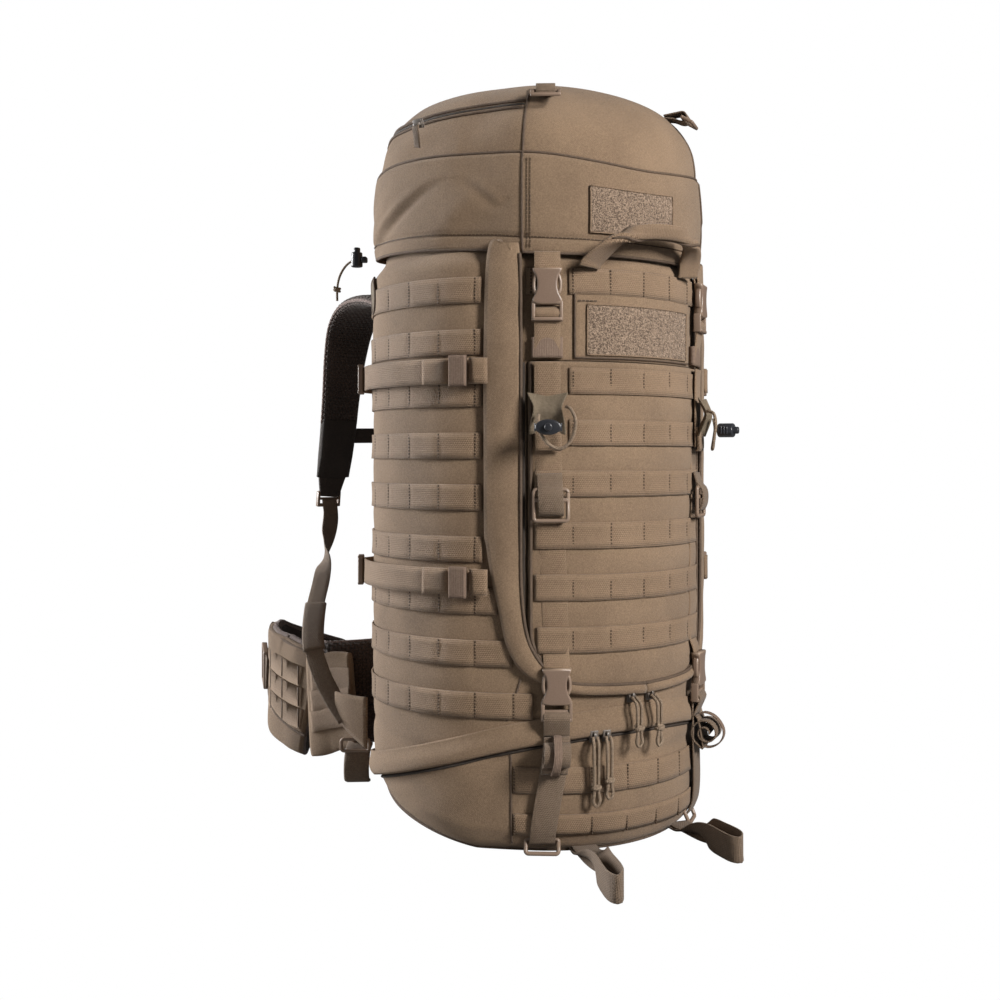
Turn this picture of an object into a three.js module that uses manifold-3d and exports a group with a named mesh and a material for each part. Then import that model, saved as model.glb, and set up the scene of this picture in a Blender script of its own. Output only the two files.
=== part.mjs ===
// A large hunting backpack, standing on its base, in millimetres with +Z up.
// The pack's front looks along -Y and the harness is on +Y. The bag is an oval tube built from
// arcs, and everything sewn to it is placed by bearing (degrees round from the front) and height.
import * as THREE from 'three';
import { mergeVertices } from 'three/addons/utils/BufferGeometryUtils.js';
import Module from 'manifold-3d';

const wasm = await Module();
wasm.setup();

// ---- driving dimensions ----
const BODY = { depth: 300, top: 600, wall: 3.5 };
// Radius and sweep of each arc of half the oval, from the middle of the front to the middle of the back
const PLAN_ARCS = [[165, 39.7], [524, 6.3], [152, 46], [133, 26], [75, 47], [494.1, 15]];
const WEBBING = { width: 25.4, thick: 2 };
const STRAP_BEARING = 33.3; // the two upright strap lines on the front
const DOOR = { halfWidth: 111, low: 158, high: 482, corner: 62, gap: 0.8 };
const HEM = { front: 586, back: 612, startsRising: 60 };
const LID = { seam: 688, crown: 780, floor: 650, skin: 4, hemOut: 8, seamOut: 2 };
const STRAP_X = 85; // middle of each shoulder strap
const BELT = { low: 56, high: 184, thick: 16 };
const CORD = 3;
const GAP = 0.4; // clearance between pieces that touch

const RAD = Math.PI / 180;

// ---- finishes ----
const finish = (color, roughness, metalness = 0) =>
  () => new THREE.MeshStandardMaterial({ color, roughness, metalness });
const cordura = finish(0x85705c, 0.9);
const webbing = finish(0x8a7359, 0.85);
const mesh3d = finish(0x3b2b26, 0.95);
const acetal = finish(0x6b5a4d, 0.45);
const blackPlastic = finish(0x14161b, 0.4);
const paracord = finish(0x8a7761, 0.8);
const aluminium = finish(0xa8abad, 0.4, 1);
const zincZip = finish(0x4a4038, 0.4, 0.8);

// ---- the oval ----
// The point of the oval at a bearing in degrees (0 the front, positive to the right), moved out by off
function plan(bearing, off = 0) {
  const side = bearing < 0 ? -1 : 1;
  const end = Math.abs(bearing);
  let [x, y, a] = [0, -BODY.depth / 2, 0];
  for (const [radius, sweep] of PLAN_ARCS) {
    const b = Math.min(a + sweep, end);
    x += radius * (Math.sin(b * RAD) - Math.sin(a * RAD));
    y += radius * (Math.cos(a * RAD) - Math.cos(b * RAD));
    a = b;
    if (a >= end) break;
  }
  return new THREE.Vector2(side * (x + off * Math.sin(a * RAD)), y - off * Math.cos(a * RAD));
}

const steps = (from, to, count) => Array.from({ length: count + 1 }, (_, i) => from + (to - from) * i / count);
const ROUND = steps(-180, 180, 48).slice(0, -1);
const ring = (height, off, scale = 1) => ROUND.map((bearing) => {
  const p = plan(bearing, off).multiplyScalar(scale);
  return new THREE.Vector3(p.x, p.y, typeof height === 'function' ? height(bearing) : height);
});

// ---- shape helpers ----
// A closed solid through rings of equal count: capped at both ends, or joined end to end
function loft(rings, joined = false) {
  const count = rings[0].length;
  const positions = rings.flat().flatMap((p) => [p.x, p.y, p.z]);
  const index = [];
  const last = joined ? rings.length : rings.length - 1;
  for (let r = 0; r < last; r++) {
    const next = (r + 1) % rings.length;
    for (let i = 0; i < count; i++) {
      const j = (i + 1) % count;
      const [a, b, c, d] = [r * count + i, r * count + j, next * count + j, next * count + i];
      index.push(a, b, c, a, c, d);
    }
  }
  if (!joined) {
    const end = (rings.length - 1) * count;
    for (let i = 1; i < count - 1; i++) {
      index.push(0, i + 1, i);
      index.push(end, end + i, end + i + 1);
    }
  }
  const geometry = new THREE.BufferGeometry();
  geometry.setAttribute('position', new THREE.Float32BufferAttribute(positions, 3));
  geometry.setIndex(index);
  return facingOut(geometry);
}

function facingOut(geometry) {
  const p = geometry.attributes.position;
  const index = geometry.index.array;
  const [a, b, c] = [new THREE.Vector3(), new THREE.Vector3(), new THREE.Vector3()];
  let volume = 0;
  for (let i = 0; i < index.length; i += 3) {
    a.fromBufferAttribute(p, index[i]);
    b.fromBufferAttribute(p, index[i + 1]);
    c.fromBufferAttribute(p, index[i + 2]);
    volume += a.dot(b.cross(c));
  }
  if (volume < 0) geometry.setIndex(Array.from(index).reverse());
  return geometry;
}

function solid(geometry) {
  const bare = geometry.clone();
  bare.deleteAttribute('normal');
  bare.deleteAttribute('uv');
  const merged = mergeVertices(bare, 1e-3);
  return new wasm.Manifold(new wasm.Mesh({
    numProp: 3,
    vertProperties: new Float32Array(merged.attributes.position.array),
    triVerts: new Uint32Array(merged.index.array),
  }));
}

function geometryOf(manifold) {
  const { vertProperties, triVerts, numProp } = manifold.getMesh();
  const geometry = new THREE.BufferGeometry();
  const kept = new Float32Array(vertProperties.length / numProp * 3);
  for (let i = 0; i < kept.length / 3; i++) {
    for (let k = 0; k < 3; k++) kept[3 * i + k] = vertProperties[numProp * i + k];
  }
  geometry.setAttribute('position', new THREE.BufferAttribute(kept, 3));
  geometry.setIndex(Array.from(triVerts));
  return geometry;
}

const join = (...parts) => geometryOf(parts.map(solid).reduce((a, b) => a.add(b)));
const cut = (body, ...cutters) => geometryOf(cutters.map(solid).reduce((a, b) => a.subtract(b), solid(body)));
const box = (w, d, h, x = 0, y = 0, z = 0) => new THREE.BoxGeometry(w, d, h).translate(x, y, z);

// A slab lying on the oval between two bearings and two heights
function band(from, to, off, thick, low, high) {
  const count = Math.max(1, Math.round(Math.abs(to - from) / 9));
  const shape = new THREE.Shape([
    ...steps(from, to, count).map((b) => plan(b, off + thick)),
    ...steps(to, from, count).map((b) => plan(b, off)),
  ]);
  return new THREE.ExtrudeGeometry(shape, { depth: high - low, bevelEnabled: false }).translate(0, 0, low);
}

// A flat strap along a curve: across(t) is the direction of its width
function ribbon(curve, count, width, thick, across) {
  return loft(steps(0, 1, count).map((t) => {
    const at = curve.getPointAt(t);
    const along = curve.getTangentAt(t);
    const wide = across(t).clone();
    wide.addScaledVector(along, -wide.dot(along)).normalize().multiplyScalar(width / 2);
    const deep = along.cross(wide).normalize().multiplyScalar(thick / 2);
    return [[-1, -1], [1, -1], [1, 1], [-1, 1]].map(([w, d]) =>
      at.clone().addScaledVector(wide, w).addScaledVector(deep, d));
  }));
}

// A slab that follows a plan curve, its section thick across the curve, between two heights
function wall(points, count, thick, low, high) {
  const curve = new THREE.SplineCurve(points.map(([x, y]) => new THREE.Vector2(x, y)));
  const side = (t, d) => {
    const tangent = curve.getTangentAt(t);
    return curve.getPointAt(t).add(new THREE.Vector2(-tangent.y, tangent.x).multiplyScalar(d));
  };
  const shape = new THREE.Shape([
    ...steps(0, 1, count).map((t) => side(t, thick / 2)),
    ...steps(1, 0, count).map((t) => side(t, -thick / 2)),
  ]);
  return new THREE.ExtrudeGeometry(shape, { depth: high - low, bevelEnabled: false }).translate(0, 0, low);
}

// A round cord through points
function tube(points, diameter, stepCount) {
  const section = new THREE.Shape(steps(0, 2 * Math.PI, 8).slice(0, -1)
    .map((a) => new THREE.Vector2(Math.cos(a) * diameter / 2, Math.sin(a) * diameter / 2)));
  const extrudePath = new THREE.CatmullRomCurve3(points.map((p) => new THREE.Vector3(...p)));
  return new THREE.ExtrudeGeometry(section, { steps: stepCount, bevelEnabled: false, extrudePath });
}

const pack = new THREE.Group();

function add(name, geometry, material) {
  const piece = new THREE.Mesh(geometry, material());
  piece.name = name;
  pack.add(piece);
  return piece;
}

// Puts a piece modelled facing -Y on the oval at a bearing and height
function onBody(piece, bearing, off, height) {
  const p = plan(bearing, off);
  piece.position.set(p.x, p.y, height);
  piece.rotation.z = bearing * RAD;
  return piece;
}

const SIDES = [['left', -1], ['right', 1]];

// ---- the bag: an oval tube, its bottom edge turned in and lifted towards the back ----
const liftedEdge = (bearing) => 42 * Math.min(1, Math.max(0, (Math.abs(bearing) - 46) / 72)) ** 1.2;

function tubeOf(off, high, start = []) {
  return loft([
    ...start,
    ring(liftedEdge, off - 20),
    ring((b) => liftedEdge(b) + 8, off - 8),
    ring((b) => liftedEdge(b) + 24, off - 1.5),
    ring((b) => liftedEdge(b) + 46, off),
    ring(high, off),
  ]);
}

function doorOutline(inset) {
  const half = DOOR.halfWidth - inset;
  const [low, high, corner] = [DOOR.low + inset, DOOR.high - inset, DOOR.corner - inset];
  const shape = new THREE.Shape();
  shape.moveTo(-half, high);
  shape.lineTo(-half, low + corner);
  shape.absarc(-half + corner, low + corner, corner, Math.PI, 1.5 * Math.PI, false);
  shape.lineTo(half - corner, low);
  shape.absarc(half - corner, low + corner, corner, 1.5 * Math.PI, 2 * Math.PI, false);
  shape.lineTo(half, high);
  return new THREE.ExtrudeGeometry(shape, { depth: 130, bevelEnabled: false, curveSegments: 6 })
    .rotateX(Math.PI / 2).translate(0, -45, 0);
}

const inside = tubeOf(-BODY.wall, BODY.top + 1, [ring(-20, -BODY.wall - 20)]);
const bagWall = solid(tubeOf(0, BODY.top)).subtract(solid(inside));
add('bag_shell', geometryOf(bagWall.subtract(solid(doorOutline(0)))), cordura);
add('front_door', geometryOf(bagWall.intersect(solid(doorOutline(DOOR.gap)))), cordura);

add('base_panel', loft([
  ring(0, -58), ring((b) => liftedEdge(b) + 0.6, -24.4), ring((b) => liftedEdge(b) + 4.2, -24.4), ring(4, -58),
]), cordura);

const flatRing = (off) => new THREE.Shape(ROUND.map((b) => plan(b, off)));
add('compartment_divider', new THREE.ExtrudeGeometry(flatRing(-5), { depth: 2.5, bevelEnabled: false })
  .translate(0, 0, 128), cordura);

// The collar is gathered in above the bag's mouth, under the lid
add('snow_collar', loft([
  ring(562, -5), ring(600, -5), ring(624, -14), ring(640, -34),
  ring(640, -36.5), ring(623, -16.5), ring(600, -7.5), ring(562, -7.5),
], true), cordura);

const stays = SIDES.map(([, sign]) => box(20, 3, 410, sign * 52, 138.5, 342));
add('back_frame', join(box(90, 1.6, 380, 0, 138.5, 342), ...stays), aluminium);

// ---- lid: a domed pocket with a deep hem that drops over the bag's mouth ----
const hemHeight = (bearing) => {
  const share = Math.max(0, (Math.abs(bearing) - HEM.startsRising) / (180 - HEM.startsRising));
  return HEM.front + (HEM.back - HEM.front) * share;
};
const CROWN = [[1, 0], [0.972, 0.3], [0.935, 0.46], [0.88, 0.61], [0.8, 0.745], [0.69, 0.86], [0.55, 0.935],
  [0.38, 0.98], [0.16, 1]];

function lidTop(off, from, drop) {
  const rise = LID.crown - LID.seam - drop;
  return [ring(from, off), ...CROWN.map(([scale, up]) => ring(LID.seam + rise * up, off - 3, scale))];
}

const lidBody = loft([ring(hemHeight, LID.hemOut), ...lidTop(LID.seamOut + 3, LID.seam - 20, 0)]);
const hollow = loft([ring(HEM.front - 5, LID.hemOut - LID.skin), ...lidTop(LID.seamOut + 3.5 - LID.skin, LID.floor, LID.skin)]);
add('lid_shell', cut(lidBody, hollow), cordura);
add('lid_floor', new THREE.ExtrudeGeometry(flatRing(LID.seamOut - LID.skin + 3), { depth: 2.5, bevelEnabled: false })
  .translate(0, 0, LID.floor), cordura);

// ---- side-release buckle in two halves, facing -Y, the join at the origin ----
const BUCKLE = { width: 32, thick: 12, female: 31, male: 18, prong: 24, bar: -10.5 };

function buckleFemale() {
  const shape = new THREE.Shape();
  shape.moveTo(-BUCKLE.width / 2, 0);
  shape.lineTo(-BUCKLE.width / 2 + 3, 8);
  shape.lineTo(-BUCKLE.width / 2 + 5.5, 14);
  shape.lineTo(-BUCKLE.width / 2 + 3, 20);
  shape.lineTo(-BUCKLE.width / 2 + 1, BUCKLE.female);
  shape.lineTo(BUCKLE.width / 2 - 1, BUCKLE.female);
  shape.lineTo(BUCKLE.width / 2 - 3, 20);
  shape.lineTo(BUCKLE.width / 2 - 5.5, 14);
  shape.lineTo(BUCKLE.width / 2 - 3, 8);
  shape.lineTo(BUCKLE.width / 2, 0);
  const body = new THREE.ExtrudeGeometry(shape, { depth: BUCKLE.thick, bevelEnabled: false })
    .rotateX(Math.PI / 2);
  const socket = box(26.5, 7, 26, 0, -6, 12);
  const windows = box(40, 6.6, 12, 0, -6, 14);
  return cut(body, socket, windows);
}

function buckleMale() {
  const ladder = cut(
    box(30, 7, BUCKLE.male, 0, -6, -BUCKLE.male / 2 - GAP),
    box(25.8, 9, 4, 0, -6, -7.5), box(25.8, 9, 4, 0, -6, -13.5),
  );
  const prongs = [-10.5, 0, 10.5].map((x) => box(x ? 3.6 : 5, 5, BUCKLE.prong, x, -6, BUCKLE.prong / 2 - 1.5));
  return join(ladder, ...prongs);
}

const uprightStrap = (low, high) => box(WEBBING.width, WEBBING.thick, high - low, 0, -1, (low + high) / 2);

// A buckle's two halves and their straps stand this far off the bag
const STRAP_OFF = 1.5;
const UPPER_JOIN = 536;
const LOWER_JOIN = 150;

for (const [side, sign] of SIDES) {
  const bearing = sign * STRAP_BEARING;
  const tongue = box(WEBBING.width, 1.5, 26, 0, -0.75, BUCKLE.female + 11);
  onBody(add(`lid_buckle_${side}`, join(buckleFemale(), tongue), acetal), bearing, STRAP_OFF, UPPER_JOIN);
  const strap = uprightStrap(DOOR.high + 1.5 - UPPER_JOIN, BUCKLE.bar + 1);
  const threaded = box(WEBBING.width - 1, 6, 2, 0, -3.4, BUCKLE.bar);
  onBody(add(`upper_buckle_${side}`, join(buckleMale(), strap, threaded), acetal), bearing, STRAP_OFF, UPPER_JOIN);
}

// ---- upright straps: the part above the door's fold is on the bag, the rest on the door ----
for (const [side, sign] of SIDES) {
  const bearing = sign * STRAP_BEARING;
  const placed = (name, geometry, material, off, z = 0) => onBody(add(name, geometry, material), bearing, off, z);
  placed(`door_strap_${side}`, uprightStrap(184, DOOR.high - 1.5), webbing, STRAP_OFF);
  placed(`lower_buckle_${side}`, buckleFemale(), acetal, STRAP_OFF, LOWER_JOIN);
  placed(`bottom_buckle_${side}`, buckleMale(), acetal, STRAP_OFF, LOWER_JOIN);
  const roll = new THREE.CylinderGeometry(15, 15, 26, 16).rotateZ(Math.PI / 2).translate(0, -16, 101);
  placed(`bottom_strap_${side}`, join(uprightStrap(8, 130), roll), webbing, STRAP_OFF);
}

// ---- holders for poles: a folded flap, an elastic cord and a cord lock with a button ----
const LOCK = { radius: 6.5, length: 17 };
function cordLock() {
  const barrel = new THREE.CylinderGeometry(LOCK.radius, LOCK.radius, LOCK.length, 16);
  const hole = new THREE.CylinderGeometry(4.4, 4.4, LOCK.length, 12).translate(0, -4, 0);
  return cut(barrel.translate(0, -LOCK.length / 2, 0), hole.translate(0, -LOCK.length / 2, 0));
}
const lockButton = () => new THREE.CylinderGeometry(4, 4, 11, 12).translate(0, -LOCK.length + 1, 0);

for (const [side, sign] of SIDES) {
  const bearing = sign * STRAP_BEARING;
  onBody(add(`pole_holder_${side}`, box(38, 14, 34, 0, -7, 0), webbing), bearing, 4, 430);
  onBody(add(`pole_lock_${side}`, cordLock(), blackPlastic), bearing, 28, 416);
  onBody(add(`pole_lock_button_${side}`, lockButton(), blackPlastic), bearing, 28, 416);
  // The elastic leaves the flap's face, loops down and comes back to it
  const at = (x, out, z) => {
    const p = plan(bearing, 4 + out);
    const turn = bearing * RAD;
    return [p.x + x * Math.cos(turn), p.y + x * Math.sin(turn), z];
  };
  add(`pole_cord_${side}`, tube([
    at(-sign * 12, 16.5, 436), at(-sign * 16, 24, 433), at(-sign * 20, 27, 422), at(-sign * 18, 25, 409),
    at(-sign * 12, 22, 399), at(-sign * 4, 20, 396), at(sign * 5, 19, 400), at(sign * 12, 18.5, 409),
    at(sign * 15, 18.5, 419), at(sign * 14.5, 17, 429),
  ], CORD, 20), paracord);
}

// ---- carrying handle: a webbing arch in front of the lid's hem ----
const handleCurve = new THREE.CatmullRomCurve3([
  [-57, -144.5, 571], [-57, -151, 584], [-52, -163, 598], [-36, -174, 609], [-14, -180, 614],
  [14, -180, 614], [36, -174, 609], [52, -163, 598], [57, -151, 584], [57, -144.5, 571],
].map((p) => new THREE.Vector3(...p)));
const archAcross = (t) => new THREE.Vector3(Math.cos(t * Math.PI), -0.35, Math.sin(t * Math.PI));
add('carry_handle', ribbon(handleCurve, 26, 17, 4, archAcross), webbing);

// ---- side compression straps with a ladder lock at the back end ----
const COMPRESSION = { upper: 474, lower: 268 };
for (const [side, sign] of SIDES) {
  for (const [level, height] of Object.entries(COMPRESSION)) {
    const half = WEBBING.width / 2;
    const strap = band(sign * 47, sign * 120, 4, 3, height - half, height + half);
    const end = band(sign * 47, sign * 56, 6, 6, height - half, height + half);
    const p = plan(sign * 120, 9);
    const lock = box(18, 6, 31).rotateZ(sign * 120 * RAD).translate(p.x, p.y, height);
    add(`compression_strap_${level}_${side}`, join(strap, end, lock), webbing);
  }
}

// ---- webbing loops that lie in front of the base ----
for (const [side, sign] of SIDES) {
  const toe = side === 'left' ? [-112, -262] : [54, -238];
  const root = [sign * 66, -148];
  const along = new THREE.Vector2(toe[0] - root[0], toe[1] - root[1]);
  const reach = along.length();
  const half = [[2.2, 0], [5.5, 0.5], [8.5, 0.82], [6.5, 0.95]].map(([x, share]) => [x, share * reach]);
  const line = [...half.map(([x, y]) => [-x, y]), [0, reach], ...half.reverse()];
  add(`floor_loop_${side}`, wall(line, 32, 2.4, 0.2, 0.2 + WEBBING.width)
    .rotateZ(along.angle() - Math.PI / 2).translate(root[0], root[1], 0), webbing);
}

// ---- zip sliders: two on the bottom zip, two on the door's zip, one on the lid ----
const slider = () => box(9, 4, 13, 0, -2, 0);
const SLIDERS = {
  bottom_slider_left: [-19.5, 116], bottom_slider_right: [-15, 116],
  door_slider_left: [-5.5, 152], door_slider_right: [2.5, 152],
};
const PULL_LENGTH = { bottom: 62, door: 46 };
for (const [name, [bearing, height]] of Object.entries(SLIDERS)) {
  const off = 1.2;
  onBody(add(name, slider(), zincZip), bearing, off, height);
  const [zip, , side] = name.split('_');
  const drop = PULL_LENGTH[zip];
  const at = (x, out, down) => {
    const p = plan(bearing, off + 4 + out);
    return [p.x + x * Math.cos(bearing * RAD), p.y + x * Math.sin(bearing * RAD), height - down];
  };
  // The door's pulls hang over the bottom compartment's flap, so they stand further off
  const hang = zip === 'door' ? 12 : 6;
  const strand = [[2.2, 2, 0], [2.6, hang - 1, 6], [2.6, hang, 18], [2.4, hang, drop * 0.5],
    [2.4, hang, drop - 8], [3, hang, drop - 2]];
  add(`${zip}_pull_${side}`, tube([
    ...strand.map(([x, out, down]) => at(-x, out, down)), at(0, hang, drop + 1.5),
    ...strand.reverse().map(([x, out, down]) => at(x, out, down)),
  ], CORD, 26), paracord);
}

const LID_ZIP = { height: 722, bearing: -70, scale: 0.972 };
const lidZipAt = plan(LID_ZIP.bearing, 5).multiplyScalar(LID_ZIP.scale);
const lidSlider = add('lid_slider', slider(), zincZip);
lidSlider.position.set(lidZipAt.x, lidZipAt.y, LID_ZIP.height);
lidSlider.rotation.z = LID_ZIP.bearing * RAD;

// ---- lid drawcord: a cord lock at the hem and the cord's knotted end ----
const DRAW = { bearing: -126, off: 15.2, z: 595 };
const upright = (geometry) => geometry.rotateX(-Math.PI / 2);
onBody(add('draw_lock', upright(cordLock()), blackPlastic), DRAW.bearing, DRAW.off, DRAW.z);
onBody(add('draw_lock_button', upright(lockButton()), blackPlastic), DRAW.bearing, DRAW.off, DRAW.z);
const drawExit = plan(DRAW.bearing, DRAW.off);
add('draw_cord', tube([
  [5.2, 7.2, 604], [6, 15, 606], [2, 24, 603], [-2, 30, 596], [-5, 34, 586], [-6, 36, 574], [-6, 36, 562],
].map(([x, y, z]) => [drawExit.x + x, drawExit.y + y, z]), 2.6, 14), paracord);

// ---- lid rings, each hanging from a loop at the front of the crown ----
for (const [side, sign] of SIDES) {
  const hole = new THREE.Path([[-11, -4], [11, -4], [11, 4], [-11, 4]].map((p) => new THREE.Vector2(...p)));
  const frame = new THREE.Shape([[-15, -8], [15, -8], [15, 8], [-15, 8]].map((p) => new THREE.Vector2(...p)));
  frame.holes.push(hole);
  const flat = new THREE.ExtrudeGeometry(frame, { depth: 3.5, bevelEnabled: false })
    .translate(0, -8, 0).rotateX(32 * RAD);
  const p = plan(sign * 36, 5).multiplyScalar(0.9);
  const piece = add(`lid_ring_${side}`, flat, acetal);
  piece.position.set(p.x, p.y, 746);
  piece.rotation.z = sign * 36 * RAD;
}

// ---- harness: back pad, shoulder straps, chest strap, lower webbing ----
add('back_pad', wall([[-92, 158], [-45, 163], [0, 164.5], [45, 163], [92, 158]], 8, 12, 205, 545), mesh3d);

const strapLine = new THREE.SplineCurve([
  [172, 556], [205, 580], [255, 592], [303, 588], [336, 560], [350, 510], [357, 440], [367, 370], [376, 322],
].map((p) => new THREE.Vector2(...p)));

for (const [side, sign] of SIDES) {
  const offset = (t, d) => {
    const tangent = strapLine.getTangentAt(t);
    return strapLine.getPointAt(t).add(new THREE.Vector2(-tangent.y, tangent.x).multiplyScalar(d));
  };
  const profile = new THREE.Shape([
    ...steps(0, 1, 16).map((t) => offset(t, 7)), ...steps(1, 0, 16).map((t) => offset(t, -7)),
  ]);
  const pad = new THREE.ExtrudeGeometry(profile, { depth: 66, bevelEnabled: false });
  // The profile's own x and y become the pack's Y and Z, and its depth runs along X
  pad.applyMatrix4(new THREE.Matrix4().set(0, 0, 1, sign * STRAP_X - 33, 1, 0, 0, 0, 0, 1, 0, 0, 0, 0, 0, 1));
  add(`shoulder_strap_${side}`, pad, mesh3d);

  const run = new THREE.CatmullRomCurve3([
    [sign * 88, 371, 308], [sign * 112, 330, 277], [sign * 152, 270, 243], [sign * 189, 219, 213],
    [sign * 206, 196, 176], [sign * 206, 172, 138], [sign * 197, 148, 113], [sign * 185, 131, 98],
  ].map((p) => new THREE.Vector3(...p)));
  const across = new THREE.Vector3(sign * 0.35, -0.5, 0.55);
  add(`strap_webbing_${side}`, ribbon(run, 18, 22, 2, () => across), webbing);
}

add('chest_strap', join(
  box(2 * STRAP_X - 66 - 1, 3, 20, 0, 360, 424), box(36, 10, 28, 0, 360, 424),
), webbing);

// ---- hip belt: a back part on the bag, and two padded wings buckled in front ----
const beltRoot = [[-181, 206], [-172, 190], [-140, 172], [-92, 163], [0, 168.5], [92, 163], [140, 172],
  [172, 190], [181, 206]];
add('belt_back', wall(beltRoot, 30, BELT.thick, BELT.low, BELT.high), mesh3d);

const wingLine = [[186, 217], [197, 245], [199, 290], [175, 325], [125, 344], [78, 350]];
for (const [side, sign] of SIDES) {
  add(`hip_wing_${side}`, wall(wingLine.map(([x, y]) => [sign * x, y]), 16, BELT.thick, BELT.low, BELT.high),
    cordura);
}
const flatBuckle = (geometry) => geometry.rotateY(-Math.PI / 2);
const buckleHeight = (BELT.low + BELT.high) / 2;
const beltTongue = (from, to) => box(to - from, 3, 38, (from + to) / 2, -6, 0);
const hipFemale = add('hip_buckle_female', join(flatBuckle(buckleFemale().scale(1.3, 1, 1.1)),
  beltTongue(-68, -33)), acetal);
hipFemale.position.set(0, 356, buckleHeight);
const hipMale = add('hip_buckle_male', join(flatBuckle(buckleMale().scale(1.3, 1, 1.1)),
  beltTongue(19, 68)), acetal);
hipMale.position.set(0, 356, buckleHeight);

export default pack;
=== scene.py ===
import math

import bmesh
import bpy
from mathutils import Matrix, Vector, noise


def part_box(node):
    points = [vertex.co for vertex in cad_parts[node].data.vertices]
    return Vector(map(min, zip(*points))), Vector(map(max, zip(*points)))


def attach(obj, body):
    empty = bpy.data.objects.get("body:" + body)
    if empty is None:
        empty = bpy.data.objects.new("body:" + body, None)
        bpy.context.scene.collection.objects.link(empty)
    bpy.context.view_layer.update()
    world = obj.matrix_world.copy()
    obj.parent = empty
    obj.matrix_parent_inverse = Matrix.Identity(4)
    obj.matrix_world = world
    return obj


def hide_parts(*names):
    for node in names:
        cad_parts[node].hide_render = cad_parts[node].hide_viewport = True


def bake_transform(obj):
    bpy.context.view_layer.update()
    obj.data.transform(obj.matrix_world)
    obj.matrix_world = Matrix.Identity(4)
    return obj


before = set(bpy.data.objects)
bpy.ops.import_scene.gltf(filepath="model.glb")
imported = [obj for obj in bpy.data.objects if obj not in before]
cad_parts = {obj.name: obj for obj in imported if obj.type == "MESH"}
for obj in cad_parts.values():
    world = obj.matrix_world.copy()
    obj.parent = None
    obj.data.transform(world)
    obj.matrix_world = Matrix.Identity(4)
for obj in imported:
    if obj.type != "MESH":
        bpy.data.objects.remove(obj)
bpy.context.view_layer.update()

# ---- The view and the studio ----
# The pack stands on a white sweep, seen from its front left at half its height. A broad key lamp
# is in front of it, a strong one lights its left edge from behind and a weak one fills the left.
# Only the viewer sees the room and the floor as white: to the cloth they are dim.
VIEW_YAW = math.radians(-34)
VIEW_PLACE = (-0.7852, -1.0611, 0.388)

camera = bpy.data.objects.new("viewer", bpy.data.cameras.new("viewer"))
bpy.context.scene.collection.objects.link(camera)
camera.location = VIEW_PLACE
camera.rotation_euler = (math.radians(90), 0, VIEW_YAW)
camera.data.sensor_width = 36
camera.data.lens = 43.2
camera.data.shift_y = -0.043
camera.data.clip_end = 60
bpy.context.scene.camera = camera
bpy.context.scene.view_settings.view_transform = "Standard"


def lamp(name, place, target, size, watts, colour=(1, 1, 1)):
    light = bpy.data.lights.new(name, "AREA")
    light.shape = "RECTANGLE"
    light.size, light.size_y = size
    light.energy = watts
    light.color = colour
    holder = bpy.data.objects.new(name, light)
    bpy.context.scene.collection.objects.link(holder)
    holder.location = place
    holder.rotation_euler = (Vector(target) - Vector(place)).to_track_quat("-Z", "Y").to_euler()


lamp("key", (0.35, -2.05, 1.3), (0, -0.1, 0.5), (0.5, 0.7), 84, (1, 0.985, 0.96))
lamp("left_fill", (-2.4, 0.3, 1.0), (0, 0, 0.4), (0.5, 1.4), 6)
lamp("back_rim", (-1.5, 1.9, 0.9), (0, 0.1, 0.45), (0.6, 1.4), 110)


def white_to_the_viewer(tree, shader, bright, output):
    """Shows the viewer one shader and every other ray another."""
    ray = tree.nodes.new("ShaderNodeLightPath")
    choice = tree.nodes.new("ShaderNodeMixShader")
    tree.links.new(ray.outputs["Is Camera Ray"], choice.inputs[0])
    tree.links.new(tree.nodes[shader].outputs[0], choice.inputs[1])
    tree.links.new(bright.outputs[0], choice.inputs[2])
    tree.links.new(choice.outputs[0], tree.nodes[output].inputs[0])


WHITE = (1, 1, 1, 1)
ROOM_LIGHT, FLOOR_GREY = 0.125, 0.22
room = bpy.data.worlds.new("white_room")
bpy.context.scene.world = room
room.use_nodes = True
dim_room = room.node_tree.nodes["Background"]
dim_room.inputs["Color"].default_value = WHITE
dim_room.inputs["Strength"].default_value = ROOM_LIGHT
bright_wall = room.node_tree.nodes.new("ShaderNodeBackground")
bright_wall.inputs["Color"].default_value = WHITE
white_to_the_viewer(room.node_tree, "Background", bright_wall, "World Output")

floor_mesh = bmesh.new()
bmesh.ops.create_grid(floor_mesh, x_segments=1, y_segments=1, size=9)
floor_data = bpy.data.meshes.new("floor")
floor_mesh.to_mesh(floor_data)
floor = bpy.data.objects.new("floor", floor_data)
bpy.context.scene.collection.objects.link(floor)
floor.location.z = -0.0005
pale_floor = bpy.data.materials.new("pale_floor")
pale_floor.use_nodes = True
dim_floor = pale_floor.node_tree.nodes["Principled BSDF"]
dim_floor.inputs["Base Color"].default_value = (FLOOR_GREY, FLOOR_GREY, FLOOR_GREY, 1)
dim_floor.inputs["Roughness"].default_value = 0.9
floor_glow = pale_floor.node_tree.nodes.new("ShaderNodeEmission")
white_to_the_viewer(pale_floor.node_tree, "Principled BSDF", floor_glow, "Material Output")
floor_data.materials.append(pale_floor)

# ---- The oval of the bag ----
# Every panel is sewn round the same oval, drawn as arcs from the middle of the front to the
# middle of the back. A place on it is given by the length of cloth round from the front.
OVAL_ARCS = [(0.165, 39.7), (0.524, 6.3), (0.152, 46), (0.133, 26), (0.075, 47), (0.4941, 15)]
HALF_ROUND = sum(r * math.radians(a) for r, a in OVAL_ARCS)
OVAL_FRONT = -0.15
SIDES = (("left", -1), ("right", 1))


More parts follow.
